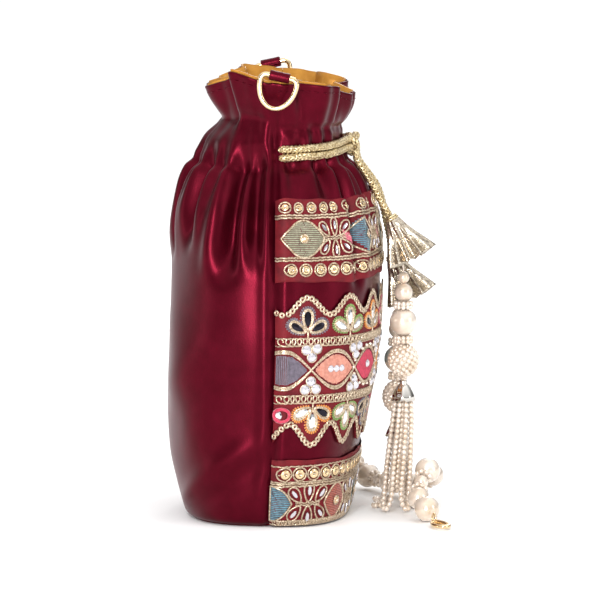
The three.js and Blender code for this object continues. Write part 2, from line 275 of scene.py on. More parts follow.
def gotaRibbon():
    # Ribbon woven from metal strip on a silk weft: bright ribs crossed by fine weft lines.
    material, tree, shader = newMaterial("gotaRibbon", Metallic=0.9, Roughness=0.27)
    point = objectPoint(tree, (1, 1, 1))
    varied(tree, shader, point, 1 / (0.9 * mm), ("#a09282", "#ddd2bf"), (0.3, 0.7))
    weft = addNode(tree, "ShaderNodeTexWave", {"Vector": point, "Scale": 1 / (9 * mm), "Distortion": 2.0,
                                               "Detail": 2.0}, bands_direction="Z")
    addBump(tree, shader, weft.outputs["Fac"], 0.5, 0.2 * mm)
    return material


def cutGlass():
    # Foiled crystal: clear facets over silver, so each facet is either bright or dark.
    material, tree, shader = newMaterial("foiledCrystal", Metallic=0.75, Roughness=0.04, Coat_Weight=1.0)
    shader.inputs["Base Color"].default_value = srgb("#cfccd2")
    return material


def shishaMirror(name, color):
    # Small cut mirror behind a stitched rim: each facet shows one flat patch of the room.
    material, tree, shader = newMaterial(name, Metallic=1.0, Roughness=0.05)
    shader.inputs["Base Color"].default_value = srgb(color)
    return material


wineSatin = duchesseSatin("wineSatin", "#4c0515", "#56071a", "#a0606c", 0.72)
liningSatin = duchesseSatin("mustardSatin", "#a8702a", "#c48c3c", "#e0c080", 0.2)
redSilk = bandSilk()
board = baseCard()
goldBraid = metalThread("lurexBraid", "#a1875c", "#ecdcb4", 0.32, 1.1)
zari = metalThread("zariThread", "#9a8266", "#e0ceb6", 0.3, 0.8)
pearlMaterial = pearlCoat()
champagnePlate = platedMetal("champagnePlate", "#eacfa4", 0.09)
silverPlate = platedMetal("silverPlate", "#d8d4ce", 0.06)
ribbonMetal = gotaRibbon()
crystal = cutGlass()
mirror = shishaMirror("silveredMirror", "#e9ebee")
smokyGlass = shishaMirror("blackMirror", "#2e2c33")
floss = {
    "silverGreen": silkFloss("silverGreenSilk", "#77795f", "#a3a58c"),
    "teal": silkFloss("tealSilk", "#365c69", "#6190a0"),
    "rust": silkFloss("rustSilk", "#8f3010", "#b84a20"),
    "salmon": silkFloss("salmonSilk", "#b26b58", "#d0907c"),
    "pink": silkFloss("hotPinkSilk", "#a81538", "#cc2a50"),
    "purple": silkFloss("greyPurpleSilk", "#4b4250", "#6d6272"),
    "orange": silkFloss("orangeSilk", "#c8711d", "#e39a3a"),
    "green": silkFloss("leafGreenSilk", "#5d7a30", "#86a552"),
    "grey": silkFloss("slateSilk", "#4c4550", "#7a7480"),
    "rose": silkFloss("roseSilk", "#b8455a", "#d9788a"),
}
print("materials are made")

# ---- the bag's surface: two halves, each a grid of points from the near seam to the far seam

bag = {
    # height, half width, depth in front of the seams, depth behind them, power of the superellipse
    "levels": [
        (0, 65.3, 35.8, 44, 2.8), (12, 69, 38.2, 47.5, 2.8), (30, 71.5, 41, 51, 2.7), (50, 72.8, 44.6, 53, 2.6),
        (70, 73, 49, 54, 2.6), (95, 72.5, 52, 53.6, 2.5), (120, 71, 52.7, 51.8, 2.5),
        (140, 68.5, 51.4, 50.5, 2.4), (155, 64.5, 48.2, 48.6, 2.4), (168, 58, 43.5, 45.5, 2.3),
        (178, 52, 35.5, 39.5, 2.3), (185, 49, 32.5, 35, 2.2), (192, 48.5, 32.5, 30.5, 2.2),
        (200, 50, 34.5, 25.5, 2.2), (209, 53, 36, 28, 2.2), (217, 56, 36.5, 31, 2.2),
    ],
    "rim": 217,
    "softening": 3.5,  # how far the corners of the profile are rounded, up and down
    "seamPull": 1.6,
    # how far the side seams swing towards the front, at each height
    "seamSwing": [(0, 0), (12, 0.6), (50, 2.4), (90, 3.4), (150, 3.2), (180, 2.8), (217, 1.2)],
    # folds: share of the way round, depth, half width in mm, lowest height, drift of the foot round the bag
    "backFolds": [
        (0.058, 8.0, 3.4, 122, -0.002), (0.112, 8.6, 4.0, 116, 0.010), (0.190, 3.4, 3.6, 148, 0.014),
        (0.262, 5.2, 3.8, 130, 0.016), (0.340, 3.0, 2.8, 152, 0.006), (0.405, 6.0, 4.0, 124, 0.004),
        (0.490, 3.6, 3.0, 146, 0.0), (0.555, 6.2, 4.2, 118, -0.006), (0.640, 3.2, 2.8, 150, -0.006),
        (0.705, 5.6, 3.8, 130, -0.012), (0.785, 3.4, 3.0, 148, -0.010), (0.850, 6.4, 3.8, 122, -0.010),
        (0.905, 7.4, 3.6, 118, -0.006), (0.950, 6.0, 3.2, 134, 0.002),
    ],
    "frontFolds": [
        (0.055, 3.4, 2.8, 156, -0.004), (0.100, 3.0, 2.6, 160, 0.0), (0.160, 4.2, 3.4, 150, 0.006),
        (0.235, 5.6, 3.0, 112, 0.006), (0.310, 3.4, 3.2, 152, 0.010), (0.375, 4.4, 3.2, 138, 0.004),
        (0.450, 3.0, 3.0, 154, 0.0), (0.515, 4.0, 3.4, 148, 0.0), (0.590, 3.2, 3.0, 154, -0.004),
        (0.655, 4.4, 3.4, 136, -0.006), (0.730, 3.4, 3.0, 152, -0.008), (0.785, 5.0, 3.0, 116, -0.006),
        (0.845, 3.4, 3.0, 152, -0.004), (0.900, 3.2, 2.8, 156, 0.0), (0.948, 3.4, 2.6, 158, 0.004),
    ],
    # the mouth's ruffle: share of the way round, how far out, how far up
    "backRuffle": [
        (0, -0.6, 0), (0.05, 1.0, 1.6), (0.10, 2.6, 4.5), (0.15, 5.0, 7.5), (0.20, -6.5, 1.0), (0.27, -1.0, -1),
        (0.35, 5.5, -1.5), (0.44, -3.0, -3), (0.53, 4.5, -2), (0.62, -4.5, -3), (0.70, 5.0, -1),
        (0.78, -5.0, 0), (0.85, 4.6, 4.0), (0.92, 1.0, 1.6), (1, -0.6, 0),
    ],
    "frontRuffle": [
        (0, -0.6, 0), (0.05, 0.6, -0.4), (0.115, -4.6, -1.6), (0.19, 2.8, -1.0), (0.26, 3.4, -2.0),
        (0.32, -2.6, -5.0), (0.40, 3.6, -7.0), (0.48, -2.4, -7.5), (0.56, 3.6, -7.5), (0.64, -4.2, -5.0),
        (0.73, 5.0, -2.6), (0.81, -4.0, -1.4), (0.89, 3.4, -0.6), (0.95, 0.6, 0), (1, -0.6, 0),
    ],
    "ruffleRound": 4.5,  # in 400ths of the way round
    "waves": 4,  # low swells in the filled cloth
    # long slack creases low on the back: from and to (mm round, height), depth, half width
    "creases": [((7, 44), (64, 3), 1.7, 6), ((206, 40), (150, 4), 1.5, 7), ((24, 96), (74, 62), 0.8, 9)],
}
cellsAcross, cellStep = 480, 0.75


def rounded(x, low, high):
    t = np.clip((x - low) / (high - low), 0, 1)
    return t * t * (3 - 2 * t)


def profileAt(heights):
    fine = np.arange(0, bag["rim"] + 1.0)
    table = np.array(bag["levels"], float)
    kernel = np.exp(-0.5 * (np.arange(-12, 13) / bag["softening"]) ** 2)
    kernel /= kernel.sum()
    columns = []
    for column in range(1, 5):
        values = np.interp(fine, table[:, 0], table[:, column])
        padded = np.concatenate([2 * values[0] - values[12:0:-1], values, 2 * values[-1] - values[-2:-14:-1]])
        columns.append(np.interp(heights, fine, np.convolve(padded, kernel, "valid")))
    return columns


def through(stops, column, q):
    # A smooth line through the stops, by cosine steps, so that each fold keeps a crisp crest.
    table = np.array(stops, float)
    index = np.clip(np.searchsorted(table[:, 0], q, side="right") - 1, 0, len(table) - 2)
    share = (q - table[index, 0]) / (table[index + 1, 0] - table[index, 0])
    share = 0.5 - 0.5 * np.cos(np.pi * np.clip(share, 0, 1))
    return table[index, column] * (1 - share) + table[index + 1, column] * share


def ruffle(side, column, q):
    # The ruffle's line, its corners rounded over a few millimetres.
    fine = np.linspace(0, 1, 401)
    values = through(bag[side + "Ruffle"], column, fine)
    kernel = np.exp(-0.5 * (np.arange(-18, 19) / bag["ruffleRound"]) ** 2)
    padded = np.concatenate([np.full(18, values[0]), values, np.full(18, values[-1])])
    return np.interp(q, fine, np.convolve(padded, kernel / kernel.sum(), "valid"))


def foldDepth(side, q, z, girth):
    depth = np.zeros_like(q)
    for place, deep, half, foot, drift in bag[side + "Folds"]:
        along = np.clip((188 - z) / (188 - foot), 0, 1)
        line = place + drift * along
        reach = rounded(z, foot, foot + 26) * (1 - 0.85 * rounded(z, 172, 188))
        wide = half * (1.0 + 0.35 * along)
        away = np.abs(q - line) * girth / wide
        depth -= deep * reach * np.exp(-away ** 2.4)
        depth += 0.34 * deep * reach * np.exp(-((away - 2.0) / 0.9) ** 2)
    return depth


def creaseDepth(side, q, z, girth):
    depth = np.zeros_like(q)
    if side == "back":
        for start, end, deep, half in bag["creases"]:
            run, rise = end[0] - start[0], end[1] - start[1]
            length = math.hypot(run, rise)
            along = ((q * girth - start[0]) * run + (z - start[1]) * rise) / length ** 2
            off = ((q * girth - start[0]) * rise - (z - start[1]) * run) / length
            ends = rounded(along, -0.15, 0.2) * (1 - rounded(along, 0.8, 1.15))
            depth += deep * ends * (np.exp(-(off / half) ** 2) - 0.8 * np.exp(-((off - 1.9 * half) / half) ** 2))
    return depth * rounded(z, 0, 14)


def swell(side, q, z):
    shift = 0.7 if side == "front" else 2.1
    low = np.sin(2 * np.pi * (q * bag["waves"] * 0.5 + z / 170) + shift)
    fine = np.sin(2 * np.pi * (q * bag["waves"] + 0.3 - z / 95) + 2 * shift)
    size = 1.1 if side == "back" else 0.5
    return size * (0.7 * low + 0.45 * fine) * rounded(z, 4, 40) * (1 - rounded(z, 130, 165))


def pleats(side, q, z):
    # Gathers of the casing, tight at the drawcord and opening out above and below it.
    count = 13 if side == "front" else 11
    wave = np.cos(2 * np.pi * count * q + 1.6 * np.sin(9 * q) + 0.5) + 0.5 * np.cos(2 * np.pi * 6.3 * q + z / 9)
    tight = np.exp(-((z - 184) / 9.0) ** 2)
    depth = (0.8 if side == "front" else 0.4) * wave * tight
    pinch = 194.5 if side == "front" else 198.5
    depth -= 1.2 * np.exp(-((z - pinch) / 2.2) ** 2) + 1.4 * np.exp(-((z - 176.5) / 2.4) ** 2)
    depth += 1.8 * np.exp(-((z - 187.5) / 5.5) ** 2) * (side == "back")
    depth -= 1.4 * np.exp(-((z - 182.5) / 5.0) ** 2) * (side == "front")
    return depth


def buildSide(side):
    heights = np.arange(0, bag["rim"] + 0.01, cellStep)
    heights[-1] = bag["rim"]
    half, front, back, power = profileAt(heights)
    shares = np.linspace(0, 1, cellsAcross + 1)
    turn = np.linspace(0, np.pi, 1441)
    sign = -1 if side == "front" else 1
    base = np.zeros((len(heights), len(shares), 3))
    girth = np.zeros(len(heights))
    for row, height in enumerate(heights):
        depth = front[row] if side == "front" else back[row]
        x = -half[row] * np.sign(np.cos(turn)) * np.abs(np.cos(turn)) ** (2 / power[row])
        y = sign * depth * np.abs(np.sin(turn)) ** (2 / power[row])
        run = np.concatenate([[0], np.cumsum(np.hypot(np.diff(x), np.diff(y)))])
        girth[row] = run[-1]
        base[row, :, 0] = np.interp(shares, run / run[-1], x)
        base[row, :, 1] = np.interp(shares, run / run[-1], y)
        base[row, :, 2] = height
    q, z = np.meshgrid(shares, heights)
    g = girth[:, None]
    depth = foldDepth(side, q, z, g) + creaseDepth(side, q, z, g) + swell(side, q, z) + pleats(side, q, z)
    mouth = rounded(z, 190, 214)
    depth += ruffle(side, 1, q) * mouth
    fromSeam = np.minimum(q, 1 - q) * g
    depth *= rounded(fromSeam, 0, 5.5)
    depth -= bag["seamPull"] * np.exp(-(fromSeam / 2.0) ** 2) * (1 - 0.6 * mouth)
    depth += 1.1 * np.exp(-((fromSeam - 5.0) / 2.6) ** 2) * (1 - mouth) * (0.3 + 0.7 * rounded(z, 6, 40))
    normal = gridNormals(base, sign)
    points = base + normal * depth[:, :, None]
    points[:, :, 2] += ruffle(side, 2, q) * rounded(z, 188, 217) * rounded(fromSeam, 0, 6)
    # the lower edge turns under in a soft round
    tuck = np.clip(1 - z / 4.5, 0, 1)
    points -= normal * (3.2 * (1 - np.sqrt(1 - tuck ** 2 * 0.98)))[:, :, None]
    edge = fromSeam < 0.01
    points[:, :, 1] = np.where(edge, 0, points[:, :, 1])
    swing = np.interp(heights, *np.array(bag["seamSwing"]).T)[:, None]
    points[:, :, 1] -= swing * np.exp(-(fromSeam / 42) ** 2)
    return {"points": points, "normals": gridNormals(points, sign), "heights": heights, "girth": girth}


def gridNormals(points, sign):
    across = np.gradient(points, axis=1)
    upward = np.gradient(points, axis=0)
    normal = np.cross(across, upward) * -sign
    return normal / np.linalg.norm(normal, axis=2, keepdims=True)


halves = {side: buildSide(side) for side in ("front", "back")}


def onBag(side, q, z, lift=0.0):
    # The place that lies a share q of the way round and z up, lifted off the cloth, and the cloth's normal.
    grid = halves[side]
    column = np.clip(np.asarray(q, float), 0, 1) * cellsAcross
    row = np.clip(np.asarray(z, float) / cellStep, 0, len(grid["heights"]) - 1.001)
    c0, r0 = np.minimum(column.astype(int), cellsAcross - 1), row.astype(int)
    c, r = (column - c0)[..., None], (row - r0)[..., None]

    def sample(values):
        low = values[r0, c0] * (1 - c) + values[r0, c0 + 1] * c
        high = values[r0 + 1, c0] * (1 - c) + values[r0 + 1, c0 + 1] * c
        return low * (1 - r) + high * r

    normal = sample(grid["normals"])
    normal /= np.linalg.norm(normal, axis=-1, keepdims=True)
    return sample(grid["points"]) + normal * np.asarray(lift)[..., None], normal


def makePanel(side):
    across, up = 200, 190
    q, z = np.meshgrid(np.linspace(0, 1, across + 1), np.linspace(0, bag["rim"], up + 1))
    outer, normal = onBag(side, q, z)
    under, _ = onBag(side, q[:1], z[:1] * 0, -4.0)
    under[:, :, 2] = 0.35
    rimTop = outer[-1:] + np.array([0, 0, 0.35]) - normal[-1:] * 0.5
    inside = outer[-1:] - normal[-1:] * 0.9
    inside2 = outer[-4:-3] - normal[-4:-3] * 0.9
    points = np.concatenate([under, outer, rimTop, inside, inside2]).reshape(-1, 3)
    faces = gridFaces(up + 5, across + 1)
    if side == "back":
        faces = [face[::-1] for face in faces]
    panel = makeMesh(f"{side}Panel", points, faces)
    finishPiece(panel, wineSatin)
    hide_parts(f"{side}_panel")
    return panel


for side in ("front", "back"):
    makePanel(side)
print("satin panels are made")

# ---- base and lining


def makeBase():
    # A satin plate, its edge rounded over, just inside the turned-under panels, and the board that stiffens it.
    outline = np.concatenate([halves["front"]["points"][2, :-1:4], halves["back"]["points"][2, :0:-4]])
    rings = []
    for share, height in ((0.02, 0.1), (0.9, 0.1), (0.955, 0.25), (0.965, 0.7), (0.955, 1.15), (0.02, 1.2)):
        rings.append(outline * [share, share, 0] + [0, 0, height])
    faces = gridFaces(len(rings), len(outline), wrap=True)
    base = makeMesh("base", np.concatenate(rings), [face[::-1] for face in faces])
    finishPiece(base, wineSatin)
    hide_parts("base_panel")
    rings = [outline * [share, share, 0] + [0, 0, height]
             for share, height in ((0.02, 1.35), (0.92, 1.35), (0.925, 1.6), (0.925, 2.9), (0.92, 3.15), (0.02, 3.15))]
    card = makeMesh("baseCard", np.concatenate(rings), [face[::-1] for face in faces], smooth=False)
    finishPiece(card, board)
    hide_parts("base_board")


makeBase()


def makeLining():
    across, up = 120, 90
    points, faces = [], []
    for side in ("front", "back"):
        q, z = np.meshgrid(np.linspace(0, 1, across + 1), np.linspace(7, bag["rim"], up + 1))
        outer, normal = onBag(side, q, z, -1.5)
        lip = outer[-1:] + np.array([0, 0, 1.1]) + normal[-1:] * 0.15
        inner = outer[::-1] - normal[::-1] * 0.7
        inner[0] += [0, 0, 0.9]
        floor = inner[-1:] * [0.95, 0.93, 1]
        floor[:, :, 2] = 4
        centre = floor * [0.02, 0.02, 1]
        sheet = np.concatenate([outer, lip, inner, floor, centre])
        start = sum(len(p) for p in points)
        points.append(sheet.reshape(-1, 3))
        some = gridFaces(len(sheet), across + 1, start)
        faces += some if side == "front" else [face[::-1] for face in some]
    lining = makeMesh("lining", np.concatenate(points), faces)
    finishPiece(lining, liningSatin)
    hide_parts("lining")


makeLining()
print("lining is made")

# ---- threads and scattered pieces, by Geometry Nodes


def newTree(name, inputs):
    tree = bpy.data.node_groups.new(name, "GeometryNodeTree")
    tree.interface.new_socket("Geometry", in_out="INPUT", socket_type="NodeSocketGeometry")
    for label, kind in inputs:
        tree.interface.new_socket(label, in_out="INPUT", socket_type="NodeSocket" + kind)
    tree.interface.new_socket("Geometry", in_out="OUTPUT", socket_type="NodeSocketGeometry")
    return tree, tree.nodes.new("NodeGroupInput").outputs, tree.nodes.new("NodeGroupOutput").inputs


def named(tree, label, kind):
    return addNode(tree, "GeometryNodeInputNamedAttribute", {"Name": label}, data_type=kind).outputs["Attribute"]


def threadTree():
    # Each run of edges becomes a round thread as thick as its points say.
    tree, given, result = newTree("threads", [("Sides", "Int"), ("Material", "Material")])
    curve = addNode(tree, "GeometryNodeMeshToCurve", {"Mesh": given["Geometry"]})
    section = addNode(tree, "GeometryNodeCurvePrimitiveCircle", {"Resolution": given["Sides"], "Radius": 1.0})
    swept = addNode(tree, "GeometryNodeCurveToMesh", {
        "Curve": curve.outputs[0], "Profile Curve": section.outputs[0],
        "Scale": named(tree, "thick", "FLOAT"), "Fill Caps": True})
    whole = addNode(tree, "GeometryNodeRealizeInstances", {"Geometry": swept.outputs[0]})
    painted = addNode(tree, "GeometryNodeSetMaterial", {
        "Geometry": whole.outputs[0], "Material": given["Material"]})
    tree.links.new(painted.outputs[0], result["Geometry"])
    return tree


def scatterTree():
    # A copy of the source stands at each point, its up along the facing and its length along the along.
    tree, given, result = newTree("scatter", [("Source", "Object"), ("Material", "Material")])
    source = addNode(tree, "GeometryNodeObjectInfo", {"Object": given["Source"]})
    turn = addNode(tree, "FunctionNodeAxesToRotation", {
        "Primary Axis": named(tree, "facing", "FLOAT_VECTOR"),
        "Secondary Axis": named(tree, "along", "FLOAT_VECTOR")})
    copies = addNode(tree, "GeometryNodeInstanceOnPoints", {
        "Points": given["Geometry"], "Instance": source.outputs["Geometry"],
        "Rotation": turn.outputs[0], "Scale": named(tree, "size", "FLOAT_VECTOR")})
    whole = addNode(tree, "GeometryNodeRealizeInstances", {"Geometry": copies.outputs[0]})
    painted = addNode(tree, "GeometryNodeSetMaterial", {
        "Geometry": whole.outputs[0], "Material": given["Material"]})
    tree.links.new(painted.outputs[0], result["Geometry"])
    return tree


trees = {"threads": threadTree(), "scatter": scatterTree()}


def runTree(piece, kind, values, smooth=True):
    modifier = piece.modifiers.new(kind, "NODES")
    modifier.node_group = trees[kind]
    for item in trees[kind].interface.items_tree:
        if item.in_out == "INPUT" and item.name in values:
            modifier[item.identifier] = values[item.name]
    return bake(piece, smooth)


def threads(name, lines, material, slot, sides=6, body="bag"):
    # lines is a list of (points, radius, closed)
    points, edges, thick = [], [], []
    start = 0
    for line, radius, closed in lines:
        count = len(line)
        points.append(line)
        thick.append(np.broadcast_to(radius, count) * mm)
        edges += [(start + i, start + i + 1) for i in range(count - 1)]
        if closed:
            edges.append((start + count - 1, start))
        start += count
    piece = makeMesh(name, np.concatenate(points), [], edges=edges)
    piece.data.attributes.new("thick", "FLOAT", "POINT").data.foreach_set("value", np.concatenate(thick))
    runTree(piece, "threads", {"Sides": sides, "Material": material})
    return finishPiece(piece, None, body)


def scatter(name, source, places, material, smooth=True, body="bag"):
    # places is a list of (point, facing, along, size), the size one number or three
    piece = makeMesh(name, [place[0] for place in places], [])
    columns = {
        "facing": [place[1] for place in places],
        "along": [place[2] for place in places],
        "size": [np.broadcast_to(place[3], 3) for place in places],
    }
    for label, values in columns.items():
        attribute = piece.data.attributes.new(label, "FLOAT_VECTOR", "POINT")
        attribute.data.foreach_set("vector", np.asarray(values, float).ravel())
    runTree(piece, "scatter", {"Source": source, "Material": material}, smooth)
    bpy.data.objects.remove(source)
    return finishPiece(piece, None, body)


def turned(name, profile, sides, squash=1.0):
    # A shape turned round Z from a profile of (radius, height), closed where the radius is 0.
    angles = np.arange(sides) * 2 * np.pi / sides
    points, rows = [], []
    for radius, height in profile:
        if radius == 0:
            rows.append([len(points)] * sides)
            points.append((0, 0, height))
        else:
            rows.append(list(range(len(points), len(points) + sides)))
            points += [(radius * math.cos(a), radius * squash * math.sin(a), height) for a in angles]
    faces = []
    for low, high in zip(rows, rows[1:]):
        for i in range(sides):
            corners = [low[i], low[(i + 1) % sides], high[(i + 1) % sides], high[i]]
            faces.append(tuple(dict.fromkeys(corners)))
    return makeMesh(name, points, faces)


def ballProfile(rings):
    return [(math.sin(math.pi * i / rings) if 0 < i < rings else 0, -math.cos(math.pi * i / rings))
            for i in range(rings + 1)]


# ---- hem stitching

hems = {
    # how far below the rim, how far off the cloth, stitch length and gap
    "lining": {"below": 5.0, "lift": -2.4, "stitch": 2.2, "gap": 1.5, "radius": 0.26},
    "satin": {"below": 3.2, "lift": 0.1, "stitch": 2.0, "gap": 1.4, "radius": 0.18},
}


def hemStitches(name, material, slot):
    hem = hems[name]
    lines = []
    for side in ("front", "back"):
        z = bag["rim"] - hem["below"]
        girth = halves[side]["girth"][-1]
        for start in np.arange(3, girth - 4, hem["stitch"] + hem["gap"]):
            shares = (start + np.linspace(0, hem["stitch"], 4)) / girth
            line, _ = onBag(side, shares, np.full(4, z), np.array([-0.2, 0.1, 0.1, -0.2]) + hem["lift"])
            lines.append((line, hem["radius"], False))
    threads(name + "Hem", lines, material, slot, 5)


hemStitches("lining", goldBraid, "lining_cloth")
hemStitches("satin", wineSatin, "satin")

# ---- embroidered bands

bands = {
    "thickness": 1.1,  # how far the cloth's face stands off the satin
    "girth": {"top": 194.0, "middle": 205.0, "bottom": 187.7},
    "edges": {"top": (121, 160.5), "bottom": (2.0, 34)},
    "upperScallop": {"valley": 107.0, "rise": 8.5, "first": 16.5, "pitch": 24.57},
    "lowerScallop": {"valley": 50.6, "rise": -10.5, "first": 20.0, "pitch": 23.57},
}


def scallop(name, s):
    edge = bands[name]
    return edge["valley"] + edge["rise"] * (0.5 + 0.5 * np.cos(2 * np.pi * (s - edge["first"]) / edge["pitch"])) 


def bandEdges(band, s):
    if band == "middle":
        return scallop("lowerScallop", s), scallop("upperScallop", s)
    low, high = bands["edges"][band]
    ripple = 0.5 * np.sin(s / 9.0) + 0.3 * np.sin(s / 3.7)
    return low + (ripple if band == "top" else 0 * s), high + ripple


def makeBand(band, rows, columns=240):
    shares = np.linspace(0.002, 0.998, columns + 1)
    low, high = bandEdges(band, shares * bands["girth"][band])
    z = low + (high - low) * np.linspace(0, 1, rows + 1)[:, None]
    q = np.broadcast_to(shares, z.shape)
    face, normal = onBag("front", q, z, bands["thickness"])
    under = [onBag("front", q[i:i + 1], z[i:i + 1], 0.1)[0] for i in (0, -1)]
    points = np.concatenate([under[0], face, under[1]])
    cloth = makeMesh(f"{band}Band", points.reshape(-1, 3), gridFaces(rows + 3, columns + 1))
    finishPiece(cloth, redSilk)
    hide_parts(f"band_{band}")


makeBand("top", 30)
makeBand("middle", 54)
makeBand("bottom", 26)
print("bands are made")

# ---- embroidery on the bands, drawn in mm: s round from the near seam, z up

zariLines, edgeLines = [], []
flossLines = {key: [] for key in floss}
pieces = {"sequin": [], "ring": [], "stone": [], "bugle": [], "mirror": [], "smoky": [], "bead": []}


def onBand(band, s, z, lift=0.0):
    s = np.asarray(s, float)
    return onBag("front", s / bands["girth"][band], z, np.full(s.shape, bands["thickness"] + lift))


def sew(band, target, path, radius, closed=False, sunk=0.3):
    path = np.array(path, float)
    low, high = 0.8, bands["girth"][band] - 0.8
    if closed and (path[:, 0].min() < low or path[:, 0].max() > high):
        return
    if path[:, 0].max() < low + 0.4 or path[:, 0].min() > high - 0.4:
        return
    path[:, 0] = np.clip(path[:, 0], low, high)
    points, _ = onBand(band, path[:, 0], path[:, 1], radius * (1 - sunk))
    target.append((points, radius, closed))


def put(band, kind, s, z, size, angle=0.0, lift=0.0):
    if not 1.2 < s < bands["girth"][band] - 1.2:
        return
    point, normal = onBand(band, np.array([s]), np.array([z]), lift)
    ahead, _ = onBand(band, np.array([s + 0.2 * math.cos(angle)]), np.array([z + 0.2 * math.sin(angle)]), lift)
    pieces[kind].append((point[0], normal[0], (ahead - point)[0] / 0.2, size))


def circleLine(s, z, radius, count=14, flat=1.0):
    turn = np.arange(count) * 2 * np.pi / count
    return np.stack([s + radius * np.cos(turn), z + radius * flat * np.sin(turn)], 1)


def straight(low, high, z, step=1.1, wobble=0.22):
    s = np.arange(low, high, step)
    return np.stack([s, z + wobble * np.sin(s * 2.1) + 0.12 * np.sin(s * 5.3)], 1)


def petalLine(s, z, angle, length, width, count=16):
    # A drop whose point is at (s, z) and whose round end is length away.
    turn = np.linspace(0, 2 * np.pi, count, endpoint=False)
    along = length * (0.5 - 0.5 * np.cos(turn))
    across = 0.5 * width * np.sin(turn) * (0.55 + 0.6 * along / length)
    return np.stack([s + along * math.cos(angle) - across * math.sin(angle),
                     z + along * math.sin(angle) + across * math.cos(angle)], 1)


def eyeHalf(width, height, share):
    # Half the height of an eye at a share, -1 to 1, of half its width.
    return 0.5 * height * np.cos(np.pi / 2 * np.clip(share, -1, 1)) ** 0.85


def eyeLine(s, z, width, height, count=15):
    share = np.linspace(-1, 1, count)
    up = np.stack([s + share * width / 2, z + eyeHalf(width, height, share)], 1)
    down = np.stack([s + share[1:-1] * width / 2, z - eyeHalf(width, height, share[1:-1])], 1)
    return np.concatenate([up, down[::-1]])


def hatchEye(band, color, s, z, width, height, pitch=0.92, slant=0.0, radius=0.36):
    # Rows of floss laid along the eye, each broken once so that the ends catch the light.
    for rise in np.arange(-height / 2 + 0.8, height / 2 - 0.6, pitch):
        reach = width / 2 * (2 / np.pi) * math.acos(min(1, (abs(rise) / (height / 2)) ** (1 / 0.85))) - 0.7
        if reach < 0.8:
            continue
        split = rng.uniform(-0.35, 0.35) * reach
        for low, high in ((-reach, split - 0.15), (split + 0.15, reach)):
            ends = np.array([[s + low, z + rise + slant * low], [s + high, z + rise + slant * high]])
            path = ends[0] + (ends[1] - ends[0]) * np.linspace(0, 1, 5)[:, None]
            sew(band, flossLines[color], path, radius, sunk=0.45)


def hatchUp(band, color, low, high, lower, upper, pitch=0.7, radius=0.38):
    # Upright satin stitches between two curves.
    for s in np.arange(low, high, pitch):
        bottom, top = lower(s), upper(s)
        if top - bottom < 1.2:
            continue
        jitter = rng.uniform(-0.25, 0.25, 2)
        heights = np.linspace(bottom + jitter[0], top + jitter[1], 6)
        sew(band, flossLines[color], np.stack([np.full(6, s), heights], 1), radius, sunk=0.45)


def halo(band, color, s, z, angle, length, width):
    # A fringe of short stitches standing round a drop.
    inner = petalLine(s, z, angle, length, width, 26)
    outer = petalLine(s - 1.2 * math.cos(angle), z - 1.2 * math.sin(angle), angle, length + 2.7, width + 3.0, 26)
    for i in range(3, 24):
        sew(band, flossLines[color], np.stack([inner[i], outer[i]]), 0.42)


def flower(band, s, z, down, color, kind):
    # Three mirror drops in fringed settings.
    turn = -1 if down else 1
    for tilt, length, width in ((0, 10.5, 6.2), (63, 9.6, 5.8), (-63, 9.6, 5.8)):
        angle = math.radians(90 * turn + tilt)
        at = (s + 1.2 * math.cos(angle), z + 1.2 * math.sin(angle))
        halo(band, color, *at, angle, length, width)
        sew(band, zariLines, petalLine(*at, angle, length, width), 0.5, True)
        sew(band, zariLines, petalLine(at[0] + 0.7 * math.cos(angle), at[1] + 0.7 * math.sin(angle),
                                       angle, length - 1.4, width - 1.5), 0.4, True)
        glass = kind if kind != "mixed" else ("smoky" if tilt > 0 else "mirror")
        middle = length * 0.55
        put(band, glass, at[0] + middle * math.cos(angle), at[1] + middle * math.sin(angle),
            (length * 0.36, width * 0.33, 1.7), angle, 0.1)
    sew(band, zariLines, [(s, z - 2.2 * turn), (s, z), (s, z + 2.5 * turn)], 0.5)


def sixPetals(band, s, z, reach, width, spread):
    for up in (1, -1):
        for tilt in (-spread, 0, spread):
            angle = math.radians(90 * up - tilt * up)
            at = (s + 0.11 * tilt, z + 1.0 * up)
            length = reach * (1.0 if tilt == 0 else 0.92)
            sew(band, zariLines, petalLine(*at, angle, length, width), 0.46, True)
            middle = length * 0.58
            put(band, "bugle", at[0] + middle * math.cos(angle), at[1] + middle * math.sin(angle),
                (length * 0.27, width * 0.17, 0.9), angle, 0.5)
    for rise in (-0.55, 0.55):
        sew(band, zariLines, straight(s - 6.5, s + 6.5, z + rise, 0.8, 0.35), 0.42)


def coinRow(band, z, radius, pitch, first, crossed):
    # Domed sequins, each inside a loop of zari and held down by a thread across it.
    for s in np.arange(first, bands["girth"][band], pitch):
        sew(band, zariLines, circleLine(s, z, radius), 0.42, True)
        put(band, "sequin", s, z, (radius * 0.82, radius * 0.82, radius * 0.9), 0, 0.1)
        tilt = 0.5 if crossed else 0.06
        sew(band, edgeLines, [(s - radius * 0.8, z - radius * tilt), (s, z + 0.15),
                              (s + radius * 0.8, z + radius * tilt)], 0.3, sunk=-1.6)
        if crossed:
            sew(band, edgeLines, [(s - radius * 0.6, z + radius * 0.6), (s, z), (s + radius * 0.6, z - radius * 0.5)],
                0.3, sunk=-1.6)


def doubleLine(band, z):
    length = bands["girth"][band]
    for rise in (-0.62, 0.62):
        sew(band, zariLines, straight(1, length - 1, z + rise), 0.52)


def loopLine(band, z, radius, pitch, thick):
    t = np.arange(0, 2 * np.pi * (bands["girth"][band] - 5) / pitch, 2 * np.pi / 11)
    path = np.stack([2.5 + pitch * t / (2 * np.pi) + radius * np.cos(t), z + radius * 1.05 * np.sin(t)], 1)
    sew(band, zariLines, path, thick, sunk=0.1)


